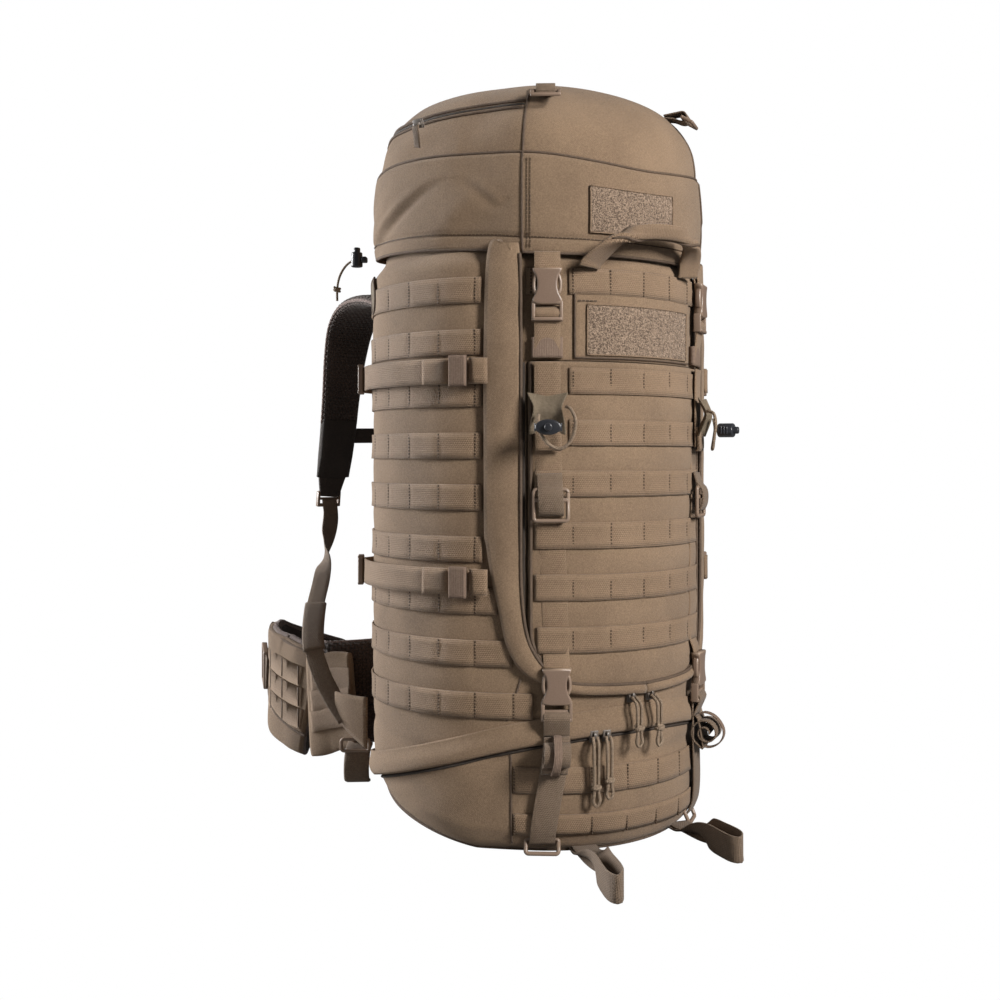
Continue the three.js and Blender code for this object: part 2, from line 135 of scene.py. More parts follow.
def turned(s):
    """The bearing, in radians from the front, after s metres of cloth round the oval."""
    left, bearing = abs(s), 0
    for radius, sweep in OVAL_ARCS:
        step = min(left, radius * math.radians(sweep))
        bearing += step / radius
        left -= step
        if left <= 0:
            break
    return math.copysign(bearing + left / OVAL_ARCS[-1][0], s)


def cloth_at(bearing_degrees):
    """The length of cloth round the oval to a bearing in degrees."""
    left, s = abs(bearing_degrees), 0
    for radius, sweep in OVAL_ARCS:
        step = min(left, sweep)
        s += radius * math.radians(step)
        left -= step
    return math.copysign(s, bearing_degrees)


def on_oval(s, off, z, scale=1):
    """The point s metres round the oval at height z, standing off it by off."""
    end, x, y, a = abs(turned(s)), 0, OVAL_FRONT, 0
    for radius, sweep in OVAL_ARCS:
        b = min(a + math.radians(sweep), end)
        x += radius * (math.sin(b) - math.sin(a))
        y += radius * (math.cos(a) - math.cos(b))
        a = b
        if a >= end:
            break
    side = -1 if s < 0 else 1
    return Vector((side * (x + off * math.sin(a)) * scale, (y - off * math.cos(a)) * scale, z))


def facing(s, off, z):
    """The frame that puts a part, modelled facing -Y, on the bag at that place."""
    return Matrix.Translation(on_oval(s, off, z)) @ Matrix.Rotation(turned(s), 4, "Z")


# ---- Finishes ----
# Every finish fades between two colours in patches and flecks. Cloth and webbing have a weave
# of warp and weft over that, with painted shade darkening the hollows between the threads, and
# hard parts are rubbed lighter on their edges.
def socketed(name, inputs, outputs):
    tree = bpy.data.node_groups.new(name, "ShaderNodeTree")
    for label, kind, value in inputs:
        made = tree.interface.new_socket(label, in_out="INPUT", socket_type=kind)
        if value is not None:
            made.default_value = value
    for label, kind in outputs:
        tree.interface.new_socket(label, in_out="OUTPUT", socket_type=kind)
    return tree, tree.nodes.new("NodeGroupInput"), tree.nodes.new("NodeGroupOutput")


def sum_up(tree, operation, a, b=None, c=None):
    node = tree.nodes.new("ShaderNodeMath")
    node.operation = operation
    for i, value in enumerate((a, b, c)):
        if value is None:
            continue
        if isinstance(value, (int, float)):
            node.inputs[i].default_value = value
        else:
            tree.links.new(value, node.inputs[i])
    return node.outputs[0]


weave, weave_in, weave_out = socketed(
    "over_and_under",
    [("Cloth", "NodeSocketVector", None), ("Warp", "NodeSocketFloat", 0.0008),
     ("Weft", "NodeSocketFloat", 0.0008)],
    [("Height", "NodeSocketFloat")])
split = weave.nodes.new("ShaderNodeSeparateXYZ")
weave.links.new(weave_in.outputs["Cloth"], split.inputs[0])
across = sum_up(weave, "DIVIDE", split.outputs[0], weave_in.outputs["Warp"])
along = sum_up(weave, "DIVIDE", split.outputs[1], weave_in.outputs["Weft"])
warp_round = sum_up(weave, "ABSOLUTE", sum_up(weave, "SINE",
                                              sum_up(weave, "MULTIPLY", across, math.pi)))
weft_round = sum_up(weave, "ABSOLUTE", sum_up(weave, "SINE",
                                              sum_up(weave, "MULTIPLY", along, math.pi)))
crossing = sum_up(weave, "ADD", sum_up(weave, "FLOOR", across), sum_up(weave, "FLOOR", along))
over = sum_up(weave, "ABSOLUTE", sum_up(weave, "MODULO", crossing, 2))
picked = sum_up(weave, "ADD", sum_up(weave, "MULTIPLY", warp_round, over),
                sum_up(weave, "MULTIPLY", weft_round, sum_up(weave, "SUBTRACT", 1.0, over)))
weave.links.new(picked, weave_out.inputs["Height"])

fade, fade_in, fade_out = socketed(
    "fading", [("Place", "NodeSocketVector", None), ("Patch", "NodeSocketFloat", 0.08),
               ("Fleck", "NodeSocketFloat", 0.0025)],
    [("Faded", "NodeSocketFloat"), ("Slub", "NodeSocketFloat")])
broad = fade.nodes.new("ShaderNodeTexNoise")
broad.inputs["Detail"].default_value = 4
fine = fade.nodes.new("ShaderNodeTexNoise")
fine.inputs["Detail"].default_value = 2
for texture, size in ((broad, "Patch"), (fine, "Fleck")):
    fade.links.new(fade_in.outputs["Place"], texture.inputs["Vector"])
    fade.links.new(sum_up(fade, "DIVIDE", 1.0, fade_in.outputs[size]), texture.inputs["Scale"])
fade.links.new(sum_up(fade, "ADD", sum_up(fade, "MULTIPLY", broad.outputs[0], 0.42),
                      sum_up(fade, "MULTIPLY", fine.outputs[0], 0.58)), fade_out.inputs["Faded"])
fade.links.new(fine.outputs[0], fade_out.inputs["Slub"])


def finish_of(name, deep, light, roughness, warp=None, weft=None, relief=0.0003, patch=0.07,
              fleck=0.0025, sheen=0.0, specular=0.35, contrast=(0.32, 0.68), worn=None):
    """A finish between two colours, woven if it has threads, with worn edges if it has them."""
    made = bpy.data.materials.new(name)
    made.use_nodes = True
    tree = made.node_tree
    shader = tree.nodes["Principled BSDF"]
    place = tree.nodes.new("ShaderNodeTexCoord")
    fading = tree.nodes.new("ShaderNodeGroup")
    fading.node_tree = fade
    fading.inputs["Patch"].default_value = patch
    fading.inputs["Fleck"].default_value = fleck
    tree.links.new(place.outputs["Object"], fading.inputs["Place"])
    mix = tree.nodes.new("ShaderNodeValToRGB")
    mix.color_ramp.elements[0].position = contrast[0]
    mix.color_ramp.elements[0].color = (*deep, 1)
    mix.color_ramp.elements[1].position = contrast[1]
    mix.color_ramp.elements[1].color = (*light, 1)
    tree.links.new(fading.outputs["Faded"], mix.inputs[0])
    colour = mix.outputs[0]
    height = fading.outputs["Slub"]
    if warp:
        threads = tree.nodes.new("ShaderNodeGroup")
        threads.node_tree = weave
        threads.inputs["Warp"].default_value = warp
        threads.inputs["Weft"].default_value = weft or warp
        lay = tree.nodes.new("ShaderNodeUVMap")
        lay.uv_map = "cloth"
        tree.links.new(lay.outputs[0], threads.inputs["Cloth"])
        height = sum_up(tree, "ADD", threads.outputs[0], sum_up(tree, "MULTIPLY", height, 0.7))
        # Painted shade: the colour is darkened where the weave is low, for the shade between threads.
        shadowed = tree.nodes.new("ShaderNodeMix")
        shadowed.data_type = "RGBA"
        shadowed.inputs["A"].default_value = (*[c * 0.62 for c in deep], 1)
        tree.links.new(colour, shadowed.inputs["B"])
        tree.links.new(sum_up(tree, "MULTIPLY_ADD", threads.outputs[0], 0.45, 0.6),
                       shadowed.inputs["Factor"])
        colour = shadowed.outputs["Result"]
    if worn:
        edges = tree.nodes.new("ShaderNodeNewGeometry")
        rubbed = tree.nodes.new("ShaderNodeMix")
        rubbed.data_type = "RGBA"
        tree.links.new(colour, rubbed.inputs["A"])
        rubbed.inputs["B"].default_value = (*worn, 1)
        high = sum_up(tree, "MULTIPLY", sum_up(tree, "SUBTRACT", edges.outputs["Pointiness"], 0.52),
                      6)
        high.node.use_clamp = True
        tree.links.new(high, rubbed.inputs["Factor"])
        colour = rubbed.outputs["Result"]
    tree.links.new(colour, shader.inputs["Base Color"])
    bump = tree.nodes.new("ShaderNodeBump")
    bump.inputs["Distance"].default_value = relief
    bump.inputs["Strength"].default_value = 0.8
    tree.links.new(height, bump.inputs["Height"])
    tree.links.new(bump.outputs[0], shader.inputs["Normal"])
    shader.inputs["Roughness"].default_value = roughness
    shader.inputs["Specular IOR Level"].default_value = specular
    shader.inputs["Sheen Weight"].default_value = sheen
    return made


CLOTH = finish_of("coated_nylon", (0.165, 0.106, 0.063), (0.268, 0.179, 0.109), 0.82, warp=0.0009,
                  relief=0.00035, fleck=0.0014, sheen=0.12, contrast=(0.36, 0.64))


def made_piece(name, mesh, finish, body, replaced=(), smooth=True, closed=True):
    """Turns a finished bmesh into a piece of the pack that rides on a body."""
    if closed:
        bmesh.ops.recalc_face_normals(mesh, faces=mesh.faces)
    data = bpy.data.meshes.new(name)
    mesh.to_mesh(data)
    mesh.free()
    if smooth:
        data.shade_smooth()
    data.materials.append(finish)
    piece = bpy.data.objects.new(name, data)
    bpy.context.scene.collection.objects.link(piece)
    if body:
        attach(piece, body)
    if replaced:
        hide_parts(*replaced)
    return piece


def smoothed(points, step):
    """A smooth line through points, as evenly spaced places about step apart."""
    points = [Vector(p) for p in points]
    padded = [2 * points[0] - points[1], *points, 2 * points[-1] - points[-2]]
    dense = []
    for a, b, c, d in zip(padded, padded[1:], padded[2:], padded[3:]):
        for i in range(24):
            t = i / 24
            dense.append(0.5 * (2 * b + (c - a) * t + (2 * a - 5 * b + 4 * c - d) * t * t
                                + (3 * b - a - 3 * c + d) * t ** 3))
    dense.append(points[-1])
    lengths = [0]
    for a, b in zip(dense, dense[1:]):
        lengths.append(lengths[-1] + (b - a).length)
    count = max(2, round(lengths[-1] / step))
    places, i = [], 0
    for k in range(count + 1):
        want = lengths[-1] * k / count
        while i < len(lengths) - 2 and lengths[i + 1] < want:
            i += 1
        gap = lengths[i + 1] - lengths[i]
        places.append(dense[i].lerp(dense[i + 1], (want - lengths[i]) / gap if gap else 0))
    return places


def length_of(places):
    return sum((b - a).length for a, b in zip(places, places[1:]))


def swept(mesh, section, places, upward, grow=None):
    """Sweeps a section, points in (across, out), along places and returns its rings."""
    layer = mesh.loops.layers.uv.get("cloth") or mesh.loops.layers.uv.new("cloth")
    rounds, run = [], 0
    for i, place in enumerate(places):
        ahead = (places[min(i + 1, len(places) - 1)] - places[max(i - 1, 0)]).normalized()
        side = upward(i / (len(places) - 1))
        side = (side - ahead * side.dot(ahead)).normalized()
        out = ahead.cross(side).normalized()
        if i:
            run += (place - places[i - 1]).length
        wide = grow(i / (len(places) - 1)) if grow else (1, 1)
        rounds.append((run, [mesh.verts.new(place + side * a * wide[0] + out * b * wide[1])
                             for a, b in section]))
    count = len(section)
    around = [0]
    for k in range(count):
        a, b = section[k], section[(k + 1) % count]
        around.append(around[-1] + math.dist(a, b))
    for (run_a, ring_a), (run_b, ring_b) in zip(rounds, rounds[1:]):
        for k in range(count):
            n = (k + 1) % count
            face = mesh.faces.new((ring_a[k], ring_a[n], ring_b[n], ring_b[k]))
            for loop, uv in zip(face.loops, ((around[k], run_a), (around[k + 1], run_a),
                                             (around[k + 1], run_b), (around[k], run_b))):
                loop[layer].uv = uv
    for _, ring in (rounds[0], rounds[-1]):
        face = mesh.faces.new(ring)
        for loop, (a, b) in zip(face.loops, section):
            loop[layer].uv = (a, b)
    return rounds


def lay_cloth(mesh, cloth_of):
    """Lays the weave on a mesh from a function of each corner's place."""
    layer = mesh.loops.layers.uv.get("cloth") or mesh.loops.layers.uv.new("cloth")
    for face in mesh.faces:
        for loop in face.loops:
            loop[layer].uv = cloth_of(loop.vert.co)


def shaped(mesh, place, steps, cloth):
    """A sheet from place(u, v), u and v from 0 to 1, with its weave laid from cloth(u, v)."""
    layer = mesh.loops.layers.uv.get("cloth") or mesh.loops.layers.uv.new("cloth")
    sheet = bmesh.ops.create_grid(mesh, x_segments=steps[0], y_segments=steps[1], size=0.5)["verts"]
    where = {}
    for vert in sheet:
        u, v = vert.co.x + 0.5, vert.co.y + 0.5
        where[vert] = cloth(u, v)
        vert.co = place(u, v)
    for face in {face for vert in sheet for face in vert.link_faces}:
        for loop in face.loops:
            loop[layer].uv = where[loop.vert]
    return where


def round_section(radius, count=8):
    return [(radius * math.cos(2 * math.pi * k / count), radius * math.sin(2 * math.pi * k / count))
            for k in range(count)]


def flat_section(width, thick, edge=0.3):
    """A strap's section: flat faces with eased edges."""
    w, t = width / 2, thick / 2
    c = t * edge * 2
    return [(-w + c, -t), (-w / 3, -t), (w / 3, -t), (w - c, -t), (w, -t + c * 0.6),
            (w, t - c * 0.6), (w - c, t), (w / 3, t), (-w / 3, t), (-w + c, t), (-w, t - c * 0.6),
            (-w, -t + c * 0.6)]


# ---- The cords ----
# Braided 3 mm cord: a doubled pull with a knot through each zip slider, an elastic loop on each
# pole holder, and the end of the lid's drawcord with its knot. Each hangs from its fitting.
CORD_BRAID = finish_of("braided_cord", (0.19, 0.135, 0.092), (0.33, 0.245, 0.172), 0.75,
                       warp=0.0012, weft=0.0014, relief=0.0007)
CORD_THICK = 0.0034


def cord_piece(name, points, body, node, thick=CORD_THICK):
    places = smoothed(points, 0.0022)
    mesh = bmesh.new()
    swept(mesh, round_section(thick / 2), places, lambda t: Vector((0.53, 0.31, 0.79)))
    piece = made_piece(name, mesh, CORD_BRAID, body, (node,))
    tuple(places[0])
    length_of(places)
    return piece


def knot(name, place, size, body):
    """An overhand knot pulled tight: one strand wound round the others."""
    mesh = bmesh.new()
    winds = [place + Vector((size * math.cos(a) * (1 - 0.12 * a / 9), size * 0.8 * math.sin(a),
                             size * (a / 9 - 0.5) * 1.25)) for a in [k * 0.35 for k in range(27)]]
    swept(mesh, round_section(size * 0.42, 8), winds, lambda t: Vector((0, 0, 1)))
    bmesh.ops.create_icosphere(mesh, subdivisions=2, radius=size * 0.85,
                               matrix=Matrix.Translation(place))
    return made_piece(name, mesh, CORD_BRAID, body)


ZIP_PULLS = {
    "bottom_pull_left": (-19.5, 0.116, 0.064, 0.006, "bottom_zip_left"),
    "bottom_pull_right": (-15.0, 0.116, 0.058, 0.006, "bottom_zip_right"),
    "door_pull_left": (-5.5, 0.152, 0.045, 0.012, "door_zip_left"),
    "door_pull_right": (2.5, 0.152, 0.047, 0.012, "door_zip_right"),
}
for node, (bearing, height, drop, hang, body) in ZIP_PULLS.items():
    def at(x, out, down):
        return facing(cloth_at(bearing), 0.0052, height) @ Vector((x, -out, -down))
    tied = knot(f"{node}_knot", at(0, hang, drop - 0.016), 0.0042, body)
    cord_piece(f"{node}_cord", [
        at(-0.0022, 0.002, 0), at(-0.0025, hang - 0.001, 0.006), at(-0.0024, hang, 0.018),
        at(-0.0021, hang, drop - 0.020), at(-0.0026, hang + 0.001, drop - 0.010),
        at(-0.0034, hang, drop - 0.003), at(0, hang, drop + 0.002), at(0.0034, hang, drop - 0.003),
        at(0.0026, hang - 0.001, drop - 0.010), at(0.0021, hang, drop - 0.020),
        at(0.0024, hang, 0.018), at(0.0025, hang - 0.001, 0.006), at(0.0022, 0.002, 0),
    ], body, node)

for side, sign in SIDES:
    def at(x, out, z):
        return facing(cloth_at(sign * 33.3), 0.004, 0) @ Vector((-sign * x, -out, z))
    cord_piece(f"pole_elastic_{side}", [
        at(0.012, 0.0165, 0.436), at(0.016, 0.024, 0.433), at(0.020, 0.027, 0.422),
        at(0.018, 0.025, 0.409), at(0.012, 0.022, 0.399), at(0.004, 0.020, 0.396),
        at(-0.005, 0.019, 0.400), at(-0.012, 0.0185, 0.409), at(-0.015, 0.0185, 0.419),
        at(-0.0145, 0.017, 0.429),
    ], "door", f"pole_cord_{side}")

DRAW_BEARING, DRAW_OFF, DRAW_HEIGHT = -126, 0.0152, 0.595
draw_exit = on_oval(cloth_at(DRAW_BEARING), DRAW_OFF, 0)
draw_points = [draw_exit + Vector(p) for p in (
    (0.0052, 0.0072, 0.604), (0.006, 0.015, 0.606), (0.002, 0.024, 0.603), (-0.002, 0.030, 0.596),
    (-0.005, 0.034, 0.586), (-0.006, 0.036, 0.574), (-0.006, 0.036, 0.562))]
draw_knot = knot("drawcord_knot", draw_points[-2] + Vector((0, 0, 0.001)), 0.0034, "lid")
cord_piece("drawcord_end", draw_points, "lid", "draw_cord", thick=0.0026)

# ---- The bag ----
# One oval tube of coated nylon, stuffed so that it swells a little between its sewn rows, with
# its lower edge turned under and lifted towards the harness. The front has a U-shaped opening
# that the door closes, and the raw edge round it is on a zip.
TOP = 0.600
ROW_PITCH = 0.0508
DOOR_HALF, DOOR_LOW, DOOR_FOLD, DOOR_CORNER = 0.111, 0.158, 0.482, 0.062
SIDE_ROWS = [0.1451 + ROW_PITCH * k for k in range(9)]


def lifted(s):
    """How far the lower edge is raised, which grows towards the back."""
    return 0.042 * min(1, max(0, (abs(math.degrees(turned(s))) - 46) / 72)) ** 1.2


def eased(value, low, high):
    t = min(1, max(0, (value - low) / (high - low)))
    return t * t * (3 - 2 * t)


UNDERTURN = [(0, -0.020), (0.008, -0.009), (0.024, -0.0018), (0.050, 0.0)]


def turned_under(s, z):
    """How far the tube draws in near its lower edge."""
    up = z - lifted(s)
    for (low, off_low), (high, off_high) in zip(UNDERTURN, UNDERTURN[1:]):
        if up <= high:
            t = max(0, (up - low) / (high - low))
            return off_low + (off_high - off_low) * t * (1.15 - 0.15 * t)
    return 0


def at_front_and_sides(s):
    """One at the front and sides, nothing at the middle of the back."""
    return 1 - eased(abs(s), 0.46, 0.54)


def slack(s, z, amount=1.0):
    """Soft creases and swelling in stuffed cloth."""
    broad_crease = noise.fractal(Vector((s * 7, z * 10, 2.7)), 1.0, 2.1, 3)
    slanting = noise.noise(Vector((s * 22 + z * 9, z * 26 - s * 6, 9.4)))
    return amount * (0.0016 * broad_crease + 0.0007 * slanting)


SIDE_IN = 0.0045  # the stuffed bag is slimmer across than the oval it is cut round
TOP_IN = 0.012  # and its top is drawn in under the lid


def bag_off(s, z):
    """How far the bag's cloth stands off the oval."""
    swell = 0.5 + 0.5 * math.cos(2 * math.pi * (z - SIDE_ROWS[0]) / ROW_PITCH + math.pi)
    side_share = eased(abs(s), 0.165, 0.185) * eased(z, 0.13, 0.17)
    seam = 0.002 * math.exp(-((z - 0.094 - 0.35 * lifted(s)) / 0.006) ** 2)
    creases = slack(s, z) * at_front_and_sides(s)
    drawn_in = SIDE_IN * eased(abs(s), 0.20, 0.30) + TOP_IN * eased(z, 0.574, 0.598)
    return turned_under(s, z) + creases + 0.0010 * swell * side_share - seam - drawn_in


def door_off(s, z):
    """How far the door's cloth stands off the oval: it is quilted between its rows."""
    quilt = 0.5 - 0.5 * math.cos(2 * math.pi * (z - 0.210) / ROW_PITCH)
    return 0.0008 + slack(s, z, 0.9) + 0.0019 * quilt


def inside_door(s, z, inset=0.0):
    """The gap to the door's outline, below zero inside it, and the outline's nearest place."""
    if abs(s) > 0.2:
        return 1, (s, z)
    x = abs(on_oval(s, 0, 0).x)
    half, low, corner = DOOR_HALF - inset, DOOR_LOW + inset, DOOR_CORNER - inset
    top = DOOR_FOLD - inset
    hub_x, hub_z = half - corner, low + corner
    if z < hub_z and x > hub_x:
        away = math.hypot(x - hub_x, z - hub_z)
        scale = corner / max(away, 1e-6)
        return away - corner, (hub_x + (x - hub_x) * scale, hub_z + (z - hub_z) * scale)
    gaps = [(x - half, (half, z)), (low - z, (x, low)), (z - top, (x, top))]
    return max(gaps, key=lambda gap: gap[0])


def cloth_for_x(x):
    """The length of cloth round the front to a place that far from the middle."""
    low, high = 0.0, 0.2
    for _ in range(24):
        middle = (low + high) / 2
        if on_oval(middle, 0, 0).x < x:
            low = middle
        else:
            high = middle
    return low


def laid(mesh, ends, heights, off, steps):
    """A sheet of cloth laid round the oval between two ends and two heights."""
    def cloth(u, v):
        s = ends[0] + (ends[1] - ends[0]) * u
        low, high = (edge(s) if callable(edge) else edge for edge in heights)
        return s, low + (high - low) * v

    def place(u, v):
        s, z = cloth(u, v)
        return on_oval(s, off(s, z) if callable(off) else off, z)

    return shaped(mesh, place, steps, cloth)


def finished_sheet(name, mesh, finish, body, thick, replaced=(), sub=0):
    """Gives a sheet its thickness behind its faces and makes it a piece."""
    piece = made_piece(name, mesh, finish, body, replaced, closed=False)
    wall = piece.modifiers.new("thickness", "SOLIDIFY")
    wall.thickness = thick
    wall.offset = -1
    if sub:
        soft = piece.modifiers.new("softness", "SUBSURF")
        soft.levels = soft.render_levels = sub
    return piece


def outward(mesh, middle=(0, 0.02)):
    """Turns every face of a sheet round the bag away from its middle."""
    wrong = []
    for face in mesh.faces:
        at_face = face.calc_center_median()
        if face.normal.dot(Vector((at_face.x - middle[0], at_face.y - middle[1], 0))) < 0:
            wrong.append(face)
    bmesh.ops.reverse_faces(mesh, faces=wrong)


def snapped(mesh, where, off, inset, keep_inside):
    """Cuts a sheet along the door's outline and pulls the cut edge onto it."""
    def is_inside(face):
        s, z = (sum(where[v][i] for v in face.verts) / len(face.verts) for i in (0, 1))
        return inside_door(s, z, inset)[0] < 0
    extra = [face for face in mesh.faces if is_inside(face) != keep_inside]
    bmesh.ops.delete(mesh, geom=extra, context="FACES")
    layer = mesh.loops.layers.uv["cloth"]
    for vert in mesh.verts:
        if not vert.is_valid or not any(edge.is_boundary for edge in vert.link_edges):
            continue
        s, z = where[vert]
        gap, (x, new_z) = inside_door(s, z, inset)
        if abs(gap) > 0.006:
            continue
        new_s = math.copysign(cloth_for_x(x), s) if abs(s) > 0.002 else s
        where[vert] = (new_s, new_z)
        vert.co = on_oval(new_s, off(new_s, new_z), new_z)
        for loop in vert.link_loops:
            loop[layer].uv = (new_s, new_z)


bag = bmesh.new()
bag_where = laid(bag, (-HALF_ROUND, HALF_ROUND), (lifted, TOP), bag_off, (270, 150))
outward(bag)
snapped(bag, bag_where, bag_off, 0, keep_inside=False)
bmesh.ops.remove_doubles(bag, verts=[v for v in bag.verts if abs(v.co.x) < 0.002 and v.co.y > 0],
                         dist=0.0004)
finished_sheet("bag_skin", bag, CLOTH, "root", 0.003, ("bag_shell",))

# The base: a doubled panel of the same cloth, sewn in round the lower edge with a bound seam.
BASE_SIDES = 120
base = bmesh.new()
base_rings = []
for share in (1.0, 0.93, 0.84, 0.72, 0.55, 0.35, 0.12):
    ring_verts = []
    for k in range(BASE_SIDES):
        s = HALF_ROUND * (2 * k / BASE_SIDES - 1)
        point = on_oval(s, -0.0205, 0)
        rise = lifted(s) * eased(share, 0.72, 1.0) + 0.0006 + 0.0004 * noise.noise(point * 30)
        ring_verts.append(base.verts.new((point.x * share, point.y * share, rise)))
    base_rings.append(ring_verts)
for outer, inner in zip(base_rings, base_rings[1:]):
    for k in range(BASE_SIDES):
        n = (k + 1) % BASE_SIDES
        base.faces.new((outer[k], inner[k], inner[n], outer[n]))
base.faces.new(base_rings[-1])
lay_cloth(base, lambda place: place.xy)
bmesh.ops.recalc_face_normals(base, faces=base.faces)
base.faces.ensure_lookup_table()
if base.faces[0].normal.z > 0:
    bmesh.ops.reverse_faces(base, faces=base.faces)
finished_sheet("base_skin", base, CLOTH, "root", 0.0025, ("base_panel",))


PIPING = finish_of("bound_edge", (0.085, 0.056, 0.038), (0.15, 0.102, 0.07), 0.75, warp=0.0008,
                   relief=0.0004)


def bound_edge(name, places, thick, finish, body):
    """A piping, seam or zip line along places."""
    mesh = bmesh.new()
    swept(mesh, round_section(thick / 2, 8), places, lambda t: Vector((0.1, 0.2, 1)))
    return made_piece(name, mesh, finish, body)


around_once = [HALF_ROUND * (2 * k / 220 - 1) * 0.999 for k in range(221)]
bound_edge("base_piping", [on_oval(s, -0.0185, lifted(s) + 0.0012) for s in around_once], 0.0042,
           PIPING, "root")

# ---- Inside the bag ----
# A divider closes off the bottom compartment, a drawn-in collar rises under the lid, and two
# aluminium stays with a plastic sheet stiffen the back.
LINING = finish_of("lining_nylon", (0.09, 0.065, 0.045), (0.14, 0.1, 0.07), 0.7, warp=0.0007)


def closed_disc(height, inset, steps, wave):
    """A cloth floor across the bag: rings of the oval that shrink to its middle."""
    disc = bmesh.new()
    laid(disc, (-HALF_ROUND, HALF_ROUND), (0, 1), 0, steps)
    for vert in disc.verts:
        share = max(0.02, 1 - vert.co.z)
        vert.co = Vector((vert.co.x * inset * share, vert.co.y * inset * share,
                          height + wave(vert.co, share)))
    bmesh.ops.remove_doubles(disc, verts=disc.verts, dist=0.0002)
    return disc


divider = closed_disc(0.1305, 0.965, (120, 12), lambda co,
                      share: 0.003 * math.sin(co.x * 40) * math.sin(co.y * 33) * (1 - share))
lay_cloth(divider, lambda place: place.xy)
bmesh.ops.recalc_face_normals(divider, faces=divider.faces)
finished_sheet("divider_cloth", divider, LINING, "root", 0.0012,
               ("compartment_divider",))


def gathered(s, z):
    """The collar's ruffle, deeper towards the drawn-in top."""
    draw = eased(z, 0.600, 0.640)
    drawn_in = 0.0085 + TOP_IN * eased(z, 0.566, 0.598) + 0.022 * draw ** 1.4
    ruffle = (0.0005 + 0.003 * draw) * math.sin(s * 260) * 0.7
    return ruffle - drawn_in + 0.001 * draw * noise.noise(Vector((s * 60, z * 40, 4)))


collar = bmesh.new()
laid(collar, (-HALF_ROUND, HALF_ROUND), (0.562, 0.640), gathered, (400, 16))
outward(collar)
bmesh.ops.remove_doubles(collar, verts=[v for v in collar.verts if abs(v.co.x) < 0.001],
                         dist=0.0002)
finished_sheet("collar_cloth", collar, LINING, "root", 0.0008, ("snow_collar",))
STAY = finish_of("stay_aluminium", (0.32, 0.33, 0.34), (0.42, 0.43, 0.44), 0.38, relief=0.00005)
STAY.node_tree.nodes["Principled BSDF"].inputs["Metallic"].default_value = 0.9
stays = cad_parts["back_frame"]
stays.data.materials.clear()
stays.data.materials.append(STAY)

# ---- The front door ----
# A U-shaped panel on a zip that folds up at its top, quilted a little between the webbing
# rows. A bound edge runs round it, and round that the zip is a dark line: partly the zip's
# teeth and partly painted shade in the gap under the storm flaps.
door = bmesh.new()
door_where = laid(door, (-0.13, 0.13), (0.15, 0.49), door_off, (104, 130))
outward(door)
snapped(door, door_where, door_off, 0.0012, keep_inside=True)
finished_sheet("door_skin", door, CLOTH, "door", 0.003, ("front_door",))


def door_edge(inset, off):
    """Places along the door's U, from its top left round to its top right."""
    half, bottom, corner = DOOR_HALF - inset, DOOR_LOW + inset, DOOR_CORNER - inset
    heights = [DOOR_FOLD - 0.002 - 0.004 * k for k in range(64)]
    places = [(-half, z) for z in heights if z > bottom + corner]
    places += [(-half + corner - corner * math.cos(a), bottom + corner - corner * math.sin(a))
               for a in [math.pi / 2 * k / 16 for k in range(17)]]
    inner = [(x, z) for x, z in places if x < -0.0005]
    inner += [(-half + corner + (half - corner) * k / 10, bottom) for k in range(1, 11)]
    whole = inner + [(-x, z) for x, z in reversed(inner[:-1])]
    return [on_oval(math.copysign(cloth_for_x(abs(x)), x), off, z) for x, z in whole]


bound_edge("door_piping", smoothed(door_edge(0.0035, 0.0022), 0.004), 0.0036, PIPING, "door")
# Painted shade: the zip lines are far darker than the cloth and stand for the shadow in the gaps under
# the flaps and lips that cover them.
ZIP_TAPE_AND_SHADE = finish_of("zip_tape_and_painted_shade", (0.03, 0.022, 0.017), (0.055, 0.04, 0.03), 0.6, warp=0.0016,
                     weft=0.0009, relief=0.0005)
# The door's zip: a dark line that is partly the zip and partly painted shade under the storm flaps.
bound_edge("door_zip", smoothed(door_edge(-0.002, 0.0005), 0.004), 0.0032, ZIP_TAPE_AND_SHADE, "root")

# ---- The zip's storm flap ----
# A folded strip of cloth down each side of the front, standing a few millimetres proud, pointed
# at its top under the lid and tapering where it turns under the door.
FLAP_OUTER = [(0.138, 0.589), (0.160, 0.580), (0.1625, 0.34), (0.160, 0.30), (0.1545, 0.268),
              (0.148, 0.238), (0.142, 0.210), (0.1335, 0.190), (0.121, 0.1765), (0.104, 0.168),
              (0.075, 0.158), (0.0, 0.1535)]
FLAP_INNER = [(0.134, 0.589), (0.127, 0.575), (0.1265, 0.34), (0.1265, 0.30), (0.1262, 0.268),
              (0.1245, 0.242), (0.1215, 0.220), (0.1165, 0.2035), (0.107, 0.188), (0.096, 0.178),
              (0.073, 0.168), (0.0, 0.164)]


def along_line(line, count):
    points = smoothed([(s, 0, z) for s, z in line], 0.001)
    return [points[round(k * (len(points) - 1) / count)] for k in range(count + 1)]


FLAP_STEPS = 150
for side, sign in SIDES:
    flap = bmesh.new()
    outer, inner = along_line(FLAP_OUTER, FLAP_STEPS), along_line(FLAP_INNER, FLAP_STEPS)

    def flap_cloth(u, v):
        a, b = outer[round(u * FLAP_STEPS)], inner[round(u * FLAP_STEPS)]
        return a.x + (b.x - a.x) * v, a.z + (b.z - a.z) * v

    def flap_place(u, v):
        s, z = flap_cloth(u, v)
        crown = 0.0045 + 0.0035 * math.sin(math.pi * min(1, max(0, v * 0.86 + 0.1)))
        return on_oval(sign * s, crown + slack(s * 2, z * 1.5, 0.7), z)

    shaped(flap, flap_place, (FLAP_STEPS, 8), flap_cloth)
    flap.normal_update()
    outward(flap)
    finished_sheet(f"zip_flap_{side}", flap, CLOTH, "root", 0.0032)
    bound_edge(f"zip_flap_piping_{side}", [on_oval(sign * p.x, 0.0052, p.z) for p in inner[6:]],
               0.0034, PIPING, "root")

